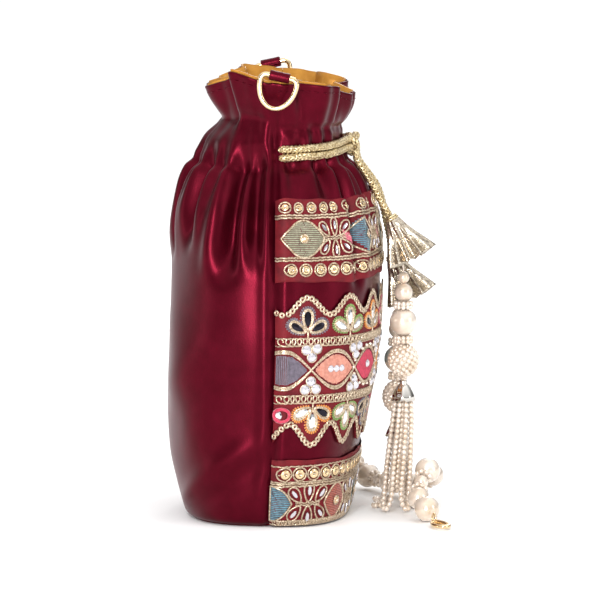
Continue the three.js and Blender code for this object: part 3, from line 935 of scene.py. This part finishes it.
def topBandWork():
    coinRow("top", 156.6, 2.4, 7.0, 5.2, False)
    doubleLine("top", 152.5)
    doubleLine("top", 132.4)
    coinRow("top", 127.2, 2.95, 7.3, 7.5, True)
    colors = ["silverGreen", "teal"]
    for k in range(5):
        s = 14.3 + 41.35 * k
        width, height = (21.5, 17.6) if k % 2 == 0 else (18.5, 17.0)
        hatchEye("top", colors[k % 2], s, 142, width, height, slant=0.0 if k % 2 == 0 else -0.35)
        sew("top", zariLines, eyeLine(s, 142, width, height), 0.55, True)
        sew("top", zariLines, circleLine(s, 142, 1.9), 0.5, True, sunk=-1.2)
        put("top", "bead", s, 142, 1.0, 0, 0.9)
        put("top", "sequin", s, 142, (1.7, 1.7, 1.6), 0, 0.8)
        sixPetals("top", s + 17.0, 142.3, 8.4, 4.6, 34)
        tail = lambda x: 145.6 - (x - s - 22.5) * 0.95
        hatchUp("top", "rose", s + 22.5, s + 29.5, lambda x: tail(x) - 4.2 + (x - s - 22.5) * 0.35, tail, 0.6, 0.34)
        sew("top", zariLines, [(s + 21.5, 145.5), (s + 25, 142.5), (s + 28.5, 138.8), (s + 30, 136.4)], 0.42)
        sew("top", zariLines, circleLine(s + 30.1, 135.6, 1.1, 10), 0.38, True)


def middleBandWork():
    for name, inset in (("upperScallop", -1.6), ("lowerScallop", 1.6)):
        edge = bands[name]
        s = np.linspace(1.5, bands["girth"]["middle"] - 1.5, 2400)
        z = scallop(name, s) + inset
        run = np.concatenate([[0], np.cumsum(np.hypot(np.diff(s), np.diff(z)))])
        for step in np.arange(0, run[-1], 2.55):
            put("middle", "ring", np.interp(step, run, s), np.interp(step, run, z), (1.62, 1.62, 1.5),
                rng.uniform(0, 6.28), 0.1 + 0.12 * (int(step / 2.55) % 2))
    settings = [("grey", "smoky"), ("green", "mirror"), ("orange", "mixed"), ("rose", "mirror")]
    for k in range(8):
        flower("middle", 16.5 + 24.57 * k, 96.6, False, *settings[k % 4])
        flower("middle", 20.0 + 23.57 * k, 60.4, True, *settings[(k * 3 + 2) % 4])
    for s in (3.2,):
        put("middle", "mirror", s, 56.5, (2.2, 2.2, 1.4), 0, 0.1)
        sew("middle", flossLines["pink"], circleLine(s + 1.2, 56.5, 3.1, 12), 0.9, True)
    for z in (92.2, 64.2):
        loopLine("middle", z, 1.75, 2.95, 0.44)
        for rise in (-1.9, 1.9):
            sew("middle", zariLines, straight(1, 204, z + rise, 1.2, 0.15), 0.34)
    middle, reach, wide, first = 78.5, 9.0, 28.0, 18.5

    def wave(s, inset=0.0):
        return np.maximum(reach * np.abs(np.sin(np.pi * (s - first) / wide)) - inset, 0)

    s = np.arange(1, 204, 0.9)
    for sign in (1, -1):
        for inset in (-0.62, 0.62):
            z = middle + sign * reach * np.sin(np.pi * (s - first) / wide) * (1 - inset / reach)
            sew("middle", zariLines, np.stack([s, z], 1), 0.5)
        sew("middle", edgeLines, np.stack([s, middle + sign * wave(s, 0)], 1), 0.42)
    colors = ["purple", "salmon", "pink", "orange", "teal", "salmon", "pink", "purple"]
    for k in range(8):
        centre = first + wide * (k - 0.5)
        hatchUp("middle", colors[k], centre - wide / 2 + 1.5, centre + wide / 2 - 1.5,
                lambda x: middle - wave(x, 1.9), lambda x: middle + wave(x, 1.9))
        stones = {"salmon": (-3.4, 0, 3.4), "pink": (0,), "orange": (-2.6, 2.6)}.get(colors[k], ())
        for shift in stones:
            put("middle", "stone", centre + shift, middle + 0.3, 2.0 if len(stones) < 3 else 1.75, 0.3, 0.5)
    for k in range(7):
        s = first + wide * k
        for up, shape in ((1, ((-2.7, 9.9), (2.9, 10.4), (0.2, 6.2))), (-1, ((0, -5.6), (-2.9, -9.6), (2.8, -9.4)))):
            for dx, dz in shape:
                put("middle", "stone", s + dx, middle + dz, 2.35, dx, 0.25)
                sew("middle", zariLines, circleLine(s + dx, middle + dz, 2.45, 12), 0.34, True)
            sew("middle", edgeLines, [(s, middle + up * 7), (s + 0.2, middle + up * 12.5)], 0.28)
    for k in range(2, 8, 4):
        centre = first + wide * (k - 0.5)
        for turn in np.arange(0, 2 * np.pi, 2 * np.pi / 18):
            put("middle", "bead", centre + 15 * math.cos(turn), middle + 9.8 * math.sin(turn), 0.85, 0, 0.5)


def bottomBandWork():
    coinRow("bottom", 27.4, 3.3, 7.3, 6.6, False)
    for rise in (-3.9, 3.9):
        sew("bottom", edgeLines, straight(1, 186, 27.4 + rise, 1.2, 0.2), 0.4)
    doubleLine("bottom", 22.0)
    for k in range(6):
        s = 1.35 + 37.0 * k
        color = "teal" if k % 2 == 0 else "rust"
        hatchEye("bottom", color, s, 12.5, 19, 17.5, slant=0.0)
        if k in (0, 5):
            # a seam cuts this eye in half
            edge = eyeLine(s, 12.5, 19, 17.5)
            for half in (edge[:15], np.concatenate([edge[14:], edge[:1]])):
                sew("bottom", zariLines, half[np.argsort(half[:, 0])], 0.52)
        else:
            sew("bottom", zariLines, eyeLine(s, 12.5, 19, 17.5), 0.52, True)
            sew("bottom", zariLines, circleLine(s, 12.5, 2.1), 0.45, True, sunk=-1.2)
            put("bottom", "sequin", s, 12.5, (2.0, 2.0, 1.7), 0, 0.8)
            put("bottom", "bead", s, 12.5, 0.8, 0, 1.4)
        sixPetals("bottom", s + 18.0, 12.4, 9.6, 5.9, 38)
    loopLine("bottom", 3.1, 0.95, 1.9, 0.42)
    for rise in (-1.0, 1.0):
        sew("bottom", zariLines, straight(1, 186.5, 3.1 + rise, 1.2, 0.12), 0.36)


topBandWork()
middleBandWork()
bottomBandWork()
threads("zariWork", zariLines, zari, "gold_cord", 6)
threads("couching", edgeLines, zari, "gold_cord", 5)
for key, lines in flossLines.items():
    if lines:
        threads(key + "Stitches", lines, floss[key], "band_cloth", 5)

domed = [(0.22, 0.16), (0.55, 0.34), (0.85, 0.24), (1.0, 0.02), (0.8, 0.0)]
shapes = {
    "sequin": (turned("sequin", domed[::-1], 12), champagnePlate, "gold_metal", True),
    "ring": (turned("ring", [(0.95, 0.0), (1.0, 0.12), (0.72, 0.34), (0.36, 0.22), (0.3, 0.04)], 12),
             zari, "gold_metal", True),
    "stone": (turned("stone", [(1.0, 0.0), (1.0, 0.18), (0.62, 0.52), (0, 0.56)], 10),
              crystal, "silver_metal", False),
    "bugle": (turned("bugle", [(0.75, 0.0), (1.0, 0.35), (0.85, 0.8), (0, 0.95)], 8), crystal, "silver_metal", False),
    "mirror": (turned("mirror", [(1.0, 0.0), (0.98, 0.12), (0.6, 0.38), (0, 0.42)], 10),
               mirror, "silver_metal", False),
    "smoky": (turned("smoky", [(1.0, 0.0), (0.98, 0.12), (0.6, 0.38), (0, 0.42)], 10),
              smokyGlass, "silver_metal", False),
    "bead": (turned("bead", ballProfile(5), 8), pearlMaterial, "pearl", True),
}
for kind, (source, material, slot, smooth) in shapes.items():
    scatter(kind + "Work", source, pieces[kind], material, smooth)
print("embroidery is made")

# ---- routes and braids


def smoothRoute(stops, step):
    # A Catmull-Rom line through the stops, cut into even steps.
    stops = np.asarray(stops, float)
    padded = np.concatenate([2 * stops[:1] - stops[1:2], stops, 2 * stops[-1:] - stops[-2:-1]])
    t = np.linspace(0, 1, 24, endpoint=False)[:, None]
    spans = []
    for a, b, c, d in zip(padded, padded[1:], padded[2:], padded[3:]):
        spans.append(0.5 * (2 * b + (c - a) * t + (2 * a - 5 * b + 4 * c - d) * t ** 2
                            + (3 * b - a - 3 * c + d) * t ** 3))
    line = np.concatenate([*spans, stops[-1:]])
    run = np.concatenate([[0], np.cumsum(np.linalg.norm(np.diff(line, axis=0), axis=1))])
    even = np.linspace(0, run[-1], max(3, int(round(run[-1] / step)) + 1))
    return np.stack([np.interp(even, run, line[:, i]) for i in range(3)], 1), run[-1]


def alongFrames(line):
    tangents = np.gradient(line, axis=0)
    tangents /= np.linalg.norm(tangents, axis=1, keepdims=True)
    side = np.cross(tangents[0], (0.1, 0.2, 1.0))
    sides = []
    for tangent in tangents:
        side = side - tangent * np.dot(side, tangent)
        side /= np.linalg.norm(side)
        sides.append(side)
    sides = np.array(sides)
    return tangents, sides, np.cross(tangents, sides)


def braid(stops, radius, yarns=8, yarnRadius=0.62, pitch=8.5, step=0.8, closed=False):
    # Half the yarns turn one way and half the other, each going over and under the rest.
    line, length = smoothRoute(stops, step)
    _, sides, ups = alongFrames(line)
    travel = np.arange(len(line)) * length / (len(line) - 1)
    lines = []
    for yarn in range(yarns):
        way = 1 if yarn % 2 == 0 else -1
        angle = way * 2 * np.pi * travel / pitch + 2 * np.pi * (yarn // 2) / (yarns / 2)
        out = radius - yarnRadius + 0.22 * way * np.cos(2 * angle)
        lines.append((line + sides * (out * np.cos(angle))[:, None] + ups * (out * np.sin(angle))[:, None],
                      yarnRadius, closed))
    return lines, line, length


drawcord = {
    "radius": 1.9,
    "reach": 0.447,  # share of the way round the front where the runs meet the knot
    "upper": (184.8, 186.8),
    "lower": (180.6, 182.4),
    "knot": (0.0, -38.6, 184.8),
    "knotSize": 1.7,
    "ends": [
        [(-2.6, -40.4, 180.5), (-3.4, -41.2, 176), (-4.4, -45.2, 170), (-5.4, -49.8, 162.5), (-6.3, -53.8, 154.8),
         (-7, -57.4, 148.4)],
        [(2.6, -40.4, 180.5), (3.4, -41.4, 176), (4.8, -45.6, 170), (6.8, -50.6, 162.5), (8.9, -53.6, 153),
         (10.8, -55.8, 143), (12.4, -57.5, 134), (13, -58.3, 127.0)],
    ],
}


def neckRun(levels, mirrored):
    # The run lies on the gathered cloth from the casing's end at the seam to the knot.
    shares = np.linspace(0.012, drawcord["reach"], 30)
    heights = np.linspace(*levels, 30)
    lifts = drawcord["radius"] + 0.4 - 3.0 * np.exp(-((shares - 0.012) / 0.012) ** 2)
    line, _ = onBag("front", shares, heights, lifts)
    for _ in range(6):
        line[1:-1] = 0.5 * line[1:-1] + 0.25 * (line[:-2] + line[2:])
    meet = np.array(drawcord["knot"]) + [-4.5, 0.6, heights[-1] - 184.2]
    line[-3:] = line[-3:] * [[0.7], [0.45], [0.2]] + meet * [[0.3], [0.55], [0.8]]
    line = np.concatenate([line[::2], meet[None]])
    return line * [-1, 1, 1] if mirrored else line


def makeDrawcord():
    radius = drawcord["radius"]
    runs = []
    for mirrored in (False, True):
        for levels in ("upper", "lower"):
            runs += braid(neckRun(drawcord[levels], mirrored), radius)[0]
    piece = threads("drawcordRuns", runs, goldBraid, "gold_cord", 6)
    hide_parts("drawcord_near_upper", "drawcord_near_lower", "drawcord_far_upper", "drawcord_far_lower")
    t = np.linspace(0, 2 * np.pi, 40)
    size = drawcord["knotSize"]
    loop = np.stack([size * (np.sin(t) + 2 * np.sin(2 * t)), 1.15 * size * np.sin(3 * t),
                     size * (np.cos(t) - 2 * np.cos(2 * t))], 1) + drawcord["knot"]
    knot = threads("drawcordKnot", braid(loop, radius, step=0.7)[0], goldBraid, "gold_cord", 6)
    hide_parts("drawcord_knot")
    ends = []
    for number, stops in enumerate(drawcord["ends"], 1):
        lines, line, length = braid(stops, radius)
        end = threads(f"drawcordEnd{number}", lines, goldBraid, "gold_cord", 6)
        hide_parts(f"drawcord_end_{number}")
        ends.append((end, line, length))
    return ends


cordEnds = makeDrawcord()
print("drawcord is made")

# ---- tassels, their pearls and strings

tassels = {
    "pleats": 12,
    "profile": [(2.3, 1.5), (3.2, -0.5), (4.4, -3.0), (5.6, -7.0), (7.2, -12.0), (9.0, -17.5), (10.6, -21.8)],
    "drops": [
        {"top": (-7, -58.2, 147.4), "lean": 27, "hang": (-9, -64.5), "lift": 0, "drift": 3.4, "onFloor": 0},
        {"top": (13, -58.6, 126), "lean": 26, "hang": (13, -61.2), "lift": -21, "drift": 0, "onFloor": 9},
    ],
    # height and radius of each pearl, and of the two rosettes and the beaded ball
    "pearls": [(117.9, 3.0), (110.5, 4.6), (95.5, 6.9)],
    "rosettes": [104.1, 86.9],
    "ball": (76.3, 7.9, 8.7),
    "seed": 1.4,
    "seedStep": 2.62,
}


def rotateX(points, degrees):
    c, s = math.cos(math.radians(degrees)), math.sin(math.radians(degrees))
    return np.asarray(points) @ np.array([[1, 0, 0], [0, c, s], [0, -s, c]])


def makeTassel(number, drop):
    pleats, steps = tassels["pleats"], 10
    columns = pleats * steps
    turn = np.arange(columns) / columns
    profile = np.array(tassels["profile"])
    heights = np.linspace(profile[0, 1], profile[-1, 1], 16)
    radii = np.interp(-heights, -profile[:, 1], profile[:, 0])
    fold = np.abs((turn * pleats) % 1 - 0.5) * 4 - 1
    fold = np.sign(fold) * np.abs(fold) ** 0.8
    uneven = 1 + 0.14 * np.sin(turn * 2 * np.pi * 3 + number) + 0.08 * np.sin(turn * 2 * np.pi * 7)
    rings = []
    for inward in (0, 0.45):
        for row, (height, radius) in enumerate(zip(heights, radii)):
            open_ = rounded(-height, 3, 20)
            out = (radius - inward) * (1 + (0.05 + 0.24 * open_) * fold * uneven)
            drop_ = height - open_ * 1.5 * (0.5 - 0.5 * fold)
            rings.append(np.stack([out * np.cos(2 * np.pi * turn), out * np.sin(2 * np.pi * turn),
                                   drop_ if np.ndim(drop_) else np.full(columns, drop_)], 1))
    rings = rings[:16] + rings[16:][::-1]
    rings.insert(0, rings[0] * [0.02, 0.02, 1])
    faces = gridFaces(len(rings), columns, wrap=True)
    points = rotateX(np.concatenate(rings), -drop["lean"]) + drop["top"]
    tassel = makeMesh(f"tassel{number}", points, [face[::-1] for face in faces])
    finishPiece(tassel, ribbonMetal)
    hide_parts(f"tassel_{number}")
    ties = []
    for height, radius in ((0.8, 2.9), (-0.3, 3.4)):
        ring = np.concatenate([circleLine(0, 0, radius, 20), np.full((20, 1), height)], 1)
        ties.append((rotateX(ring, -drop["lean"]) + drop["top"], 0.6, True))
    tie = threads(f"tasselTie{number}", ties, goldBraid, "ribbon", 6)
    return tassel, tie


def ringOfBeads(radius, beads, size, centre, height):
    turn = np.arange(beads) * 2 * np.pi / beads
    return [((centre[0] + radius * math.cos(a), centre[1] + radius * math.sin(a), height), (0, 0, 1), (1, 0, 0), size)
            for a in turn]


def makePearlString(number, drop):
    x, y = drop["hang"]
    lift = drop["lift"]
    large = [((x, y, z + lift), (0, 0, 1), (1, 0, 0), radius) for z, radius in tassels["pearls"]]
    ball = scatter(f"pearls{number}", turned("pearl", ballProfile(20), 32), large, pearlMaterial)
    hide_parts(f"pearl_small_{number}", f"pearl_middle_{number}", f"pearl_large_{number}")
    small = []
    for z in tassels["rosettes"]:
        for height, radius, beads in ((0.9, 3.9, 10), (-0.9, 4.0, 10), (0, 1.9, 5)):
            small += ringOfBeads(radius, beads, 1.22, (x, y), z + lift + height)
    z, wide, tall = tassels["ball"]
    count = 96
    for i in range(count):
        rise = 1 - 2 * (i + 0.5) / count
        around = i * 2.39996
        flat = math.sqrt(1 - rise * rise)
        normal = Vector((flat * math.cos(around) / wide, flat * math.sin(around) / wide, rise / tall)).normalized()
        place = (x + (wide - 1.3) * flat * math.cos(around), y + (wide - 1.3) * flat * math.sin(around),
                 z + lift + (tall - 1.3) * rise)
        small.append((place, normal, normal.orthogonal(), 1.42))
    beads = scatter(f"smallPearls{number}", turned("bead", ballProfile(8), 12), small, pearlMaterial)
    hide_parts(f"rosette_upper_{number}", f"rosette_lower_{number}", f"beaded_ball_{number}")
    core = turned(f"ballCore{number}", [(r * (wide - 1.5), h * (tall - 1.5)) for r, h in ballProfile(8)], 14)
    core.data.transform(Matrix.Translation(Vector((x, y, z + lift)) * mm))
    finishPiece(core, pearlMaterial)
    top = drop["top"]
    wire, length = smoothRoute([(top[0], top[1] - 3, 141 + lift), (x, (y + top[1]) / 2 - 1, 130 + lift),
                                (x, y, 121 + lift), (x, y, 100 + lift), (x, y, 80 + lift), (x, y, 58 + lift)], 1)
    thread = threads(f"stringing{number}", [(wire, 0.4, False)], pearlMaterial, "pearl", 8)
    return thread, wire, length, [ball, beads, core]


def makeCap(number, drop):
    # A plated filigree cap: eight flutes widening to a scalloped edge.
    profile = [(0.05, 66.6), (1.7, 66.4), (2.0, 65.4), (1.5, 64.9), (2.4, 63.9), (4.2, 61.0), (5.2, 58.2), (5.9, 56.0),
               (5.4, 56.2), (4.4, 59.5), (2.0, 62.8), (0.05, 63.0)]
    columns = 32
    turn = np.arange(columns) * 2 * np.pi / columns
    rings = []
    for radius, height in profile:
        flute = 1 + (0.07 * np.abs(np.cos(4 * turn)) if radius > 2.1 else 0)
        rings.append(np.stack([radius * flute * np.cos(turn) + drop["hang"][0],
                               radius * flute * np.sin(turn) + drop["hang"][1],
                               height + drop["lift"] + (0.5 * np.abs(np.cos(4 * turn)) if radius > 5 else 0 * turn)], 1))
    faces = gridFaces(len(rings), columns, wrap=True)
    cap = makeMesh(f"cap{number}", np.concatenate(rings), [face[::-1] for face in faces])
    finishPiece(cap, silverPlate)
    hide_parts(f"cap_{number}")
    return cap


def strandStops(index, drop):
    towards, spread, ground = math.pi / 4 + index * math.pi / 2, math.pi / 8, tassels["seed"] + 0.2
    x, y = drop["hang"]
    top = 54.7 + drop["lift"]

    def at(angle, radius, z, share):
        return (x + radius * math.cos(angle), y + radius * math.sin(angle) + drop["drift"] * share, z)

    if index > 3:
        # a shorter loop inside the four that reach the floor
        towards += math.pi / 4
        side = [(1.5, top + 2.2, 0), (2.0, top - 10, 0.2), (2.6, top * 0.5 + 1, 0.6), (2.8, ground + 9 + index, 0.9)]
        away = [at(towards + math.pi, *stop) for stop in side]
        back = [at(towards, *stop) for stop in side]
        return away + [at(towards, 0, ground + 5 + index, 1)] + back[::-1]

    def leg(angle):
        return [at(angle, 4.1, top + 2.2, 0), at(angle, 5.1, top - 10, 0.2), at(angle, 6.1, top * 0.5, 0.6),
                at(angle, 6.7, ground + 6, 1)]

    foot = [at(towards, 7.9 + drop["onFloor"], ground, 1)]
    if drop["onFloor"]:
        foot.insert(0, at(towards - 0.24, 10.1, ground + 0.4, 1))
        foot.append(at(towards + 0.24, 10.1, ground + 0.4, 1))
    return leg(towards - spread) + foot + leg(towards + spread)[::-1]


def pearlPlaces(line, size):
    tangents, sides, _ = alongFrames(line)
    return [(point, tangent, side, size) for point, tangent, side in zip(line, tangents, sides)]


def makeStrand(number, index, drop):
    line, length = smoothRoute(strandStops(index, drop), tassels["seedStep"])
    strand = scatter(f"seedStrand{number}{index + 1}", turned("seed", ballProfile(6), 9),
                     pearlPlaces(line, tassels["seed"]), pearlMaterial)
    if index < 4:
        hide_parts(f"strand_{number}_{index + 1}")
    print(f"strand {number} {index + 1} is {length:.0f} mm long")


for number, drop in enumerate(tassels["drops"], 1):
    hung = makeTassel(number, drop)
    print(f"drawcord end {number} is {length:.0f} mm long")
    thread, wire, length, strung = makePearlString(number, drop)
    makeCap(number, drop)
    print(f"pearl string {number} is {length:.0f} mm long")
    for index in range(6):
        makeStrand(number, index, drop)
print("tassels are made")

# ---- wrist handle

handle = {
    "route": [
        (69.2, 0, 163), (74.6, -1.5, 150), (78, -5, 132), (79.8, -10, 110), (80.2, -16, 86), (79.2, -22, 62),
        (77.4, -28, 42), (76, -33, 26), (74.5, -38.5, 14), (69, -44, 7.6), (61, -49.5, 6.6), (50, -55, 6.6),
        (39.5, -62, 6.8), (30, -70, 8.2), (20, -77, 12), (8, -79.5, 17.5), (-4, -77, 20.5), (-15, -74, 16.5),
        (-25, -72.5, 9.5), (-37, -75, 6.6), (-49, -79, 6.6),
    ],
    # radius of each pearl in the repeat, 0 standing for a rosette of small ones
    "repeat": [5.5, 3.8, 6.3, 0, 3.5, 0],
    "shift": 3,
    "loop": (64.3, 0, 172),
    "clasp": (-64.5, -84.0, 1.8),
}


def makeHandle():
    line, length = smoothRoute(handle["route"], 0.5)
    tangents, sides, ups = alongFrames(line)
    pearls, beads = [], []
    travel, index = 0.0, handle["shift"]
    while True:
        radius = handle["repeat"][index % len(handle["repeat"])]
        half = radius if radius else 1.3
        place = int((travel + half) / length * (len(line) - 1))
        if place >= len(line):
            break
        if radius:
            pearls.append((line[place], tangents[place], sides[place], radius))
        else:
            for turn in np.arange(8) * np.pi / 4:
                out = sides[place] * math.cos(turn) + ups[place] * math.sin(turn)
                beads.append((line[place] + out * 3.3, out, tangents[place], 1.3))
        travel += 2 * half
        index += 1
    string = scatter("handlePearls", turned("pearl", ballProfile(16), 26), pearls, pearlMaterial)
    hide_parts("handle_string")
    rosettes = scatter("handleRosettes", turned("bead", ballProfile(7), 10), beads, pearlMaterial)
    wire = threads("handleWire", [(line[::4], 0.4, False)], pearlMaterial, "pearl", 6)
    turn = np.linspace(0, 2 * np.pi, 40, endpoint=False)
    x, y, z = handle["clasp"]
    tilt = math.radians(198)
    ring = np.stack([8.0 * np.cos(turn), 3.4 * np.sin(turn) * (1 - 0.25 * np.cos(turn)), 0 * turn], 1)
    thick = 0.95 + 0.45 * (0.5 + 0.5 * np.cos(turn))
    jump = np.stack([2.6 * np.cos(turn) + 10.4, 0 * turn, 2.6 * np.sin(turn) + 1.2], 1)
    lines = []
    for shape, radius in ((ring, thick), (jump, 0.6)):
        c, s = math.cos(tilt + math.pi), math.sin(tilt + math.pi)
        spun = np.stack([shape[:, 0] * c - shape[:, 1] * s + x, shape[:, 0] * s + shape[:, 1] * c + y,
                         shape[:, 2] + z], 1)
        lines.append((spun, radius, True))
    clasp = threads("handleClasp", lines, champagnePlate, "gold_metal", 12)
    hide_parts("handle_clasp")
    turn = np.linspace(0, 2 * np.pi, 30, endpoint=False)
    x, y, z = handle["loop"]
    link = np.stack([0 * turn + x, 3.3 * np.cos(turn) + y, 3.3 * np.sin(turn) + z - 3.3], 1)
    tie, _ = smoothRoute([(x, y, z - 6.6), (x + 1.6, y, z - 8), (line[0] + (0, 0, 1)).tolist()], 1)
    joint = threads("handleLink", [(link, 0.8, True), (tie, 0.7, False)], champagnePlate, "gold_metal", 10)
    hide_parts("handle_link")
    print(f"handle is {length:.0f} mm long")


makeHandle()
print("handle is made")

# ---- rings and their tabs

rings = {"wire": 1.3, "halfWidth": 9.05, "drop": 15.8, "corner": 2.8, "hanger": (-58.3, -5.0, 220.9), "tilt": 12.0,
         "tabWidth": 10.0, "strap": 0.95}


def atSeam(points, side):
    # From a seam's own frame, bar along Y, to the bag's frame.
    placed = rotateX(points, rings["tilt"]) + rings["hanger"]
    return placed if side == "near" else placed * [-1, -1, 1]


def makeRing(side):
    half, corner = rings["halfWidth"], rings["corner"]
    turn = np.linspace(0, np.pi, 26)
    bow = np.stack([half * np.cos(turn), -corner - (rings["drop"] - corner) * np.sin(turn)], 1)
    bend = np.linspace(np.pi, np.pi / 2, 6)[1:]
    left = np.stack([-half + corner + corner * np.cos(bend), -corner + corner * np.sin(bend)], 1)
    bar = np.stack([np.linspace(-half + corner, half - corner, 8)[1:-1], np.zeros(6)], 1)
    right = left[::-1] * [-1, 1]
    outline = np.concatenate([bow, left, bar, right])
    points = np.concatenate([np.zeros((len(outline), 1)), outline], 1)
    ring = threads(side + "Ring", [(atSeam(points, side), rings["wire"], True)], champagnePlate, "gold_metal", 16,
                   body=side + "_ring")
    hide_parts(side + "_ring")


def strapMesh(name, radius, thick, width, reach, low):
    # A strap round a bar along Y: in along the top, round the bar and back underneath.
    turn = np.linspace(-0.25, 2 * np.pi - 0.85, 26)
    middle = np.stack([radius * np.cos(turn), radius * np.sin(turn)], 1)
    tailTop = np.linspace(reach, middle[0, 0] + 0.4, 5)
    top = np.stack([tailTop, np.full(5, low + thick * 0.55)], 1)
    bottom = np.stack([tailTop[::-1], np.full(5, low - thick * 0.55)], 1)
    run = np.concatenate([top, middle, bottom])
    along = np.gradient(run, axis=0)
    out = np.stack([-along[:, 1], along[:, 0]], 1)
    out /= np.linalg.norm(out, axis=1, keepdims=True)
    across = np.array([-0.5, -0.49, -0.44, -0.2, 0, 0.2, 0.44, 0.49, 0.5])
    puff = np.array([0.35, 0.8, 1, 0.86, 0.9, 0.86, 1, 0.8, 0.35]) * thick / 2
    loops = []
    for place, half in zip(across, puff):
        loop = np.concatenate([run - out * half, (run + out * half)[::-1]])
        loops.append(np.stack([loop[:, 0], np.full(len(loop), place * width), loop[:, 1]], 1))
    count = len(loops[0])
    faces = gridFaces(len(loops), count, wrap=True)
    for start, flip in ((0, False), ((len(loops) - 1) * count, True)):
        for i in range(len(run) - 1):
            face = (start + i, start + i + 1, start + count - 2 - i, start + count - 1 - i)
            faces.append(face[::-1] if flip else face)
    return np.concatenate(loops), faces


def makeTab(side):
    points, faces = strapMesh("tab", rings["wire"] + 0.75, rings["strap"], rings["tabWidth"], 4.6, -1.3)
    tab = makeMesh(side + "Tab", atSeam(points, side), faces)
    finishPiece(tab, wineSatin)
    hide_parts(side + "_tab")


for side in ("near", "far"):
    makeRing(side)
    makeTab(side)
points, faces = strapMesh("loop", 2.0, 0.9, 3.4, 7, -1.2)
loop = makeMesh("handleLoop", points * [-1, 1, 1] + handle["loop"], [face[::-1] for face in faces])
finishPiece(loop, wineSatin)
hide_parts("handle_loop")
print("rings and tabs are made")

# ---- floor


def makeFloor():
    size = 60000
    floor = makeMesh("floor", [(-size, -size, 0), (size, -size, 0), (size, size, 0), (-size, size, 0)],
                     [(0, 1, 2, 3)], smooth=False)
    material, tree, shader = newMaterial("paleFloor", Roughness=0.8, Specular_IOR_Level=0.1)
    shader.inputs["Base Color"].default_value = srgb(studio["floorColor"])
    floor.data.materials.append(material)


makeFloor()
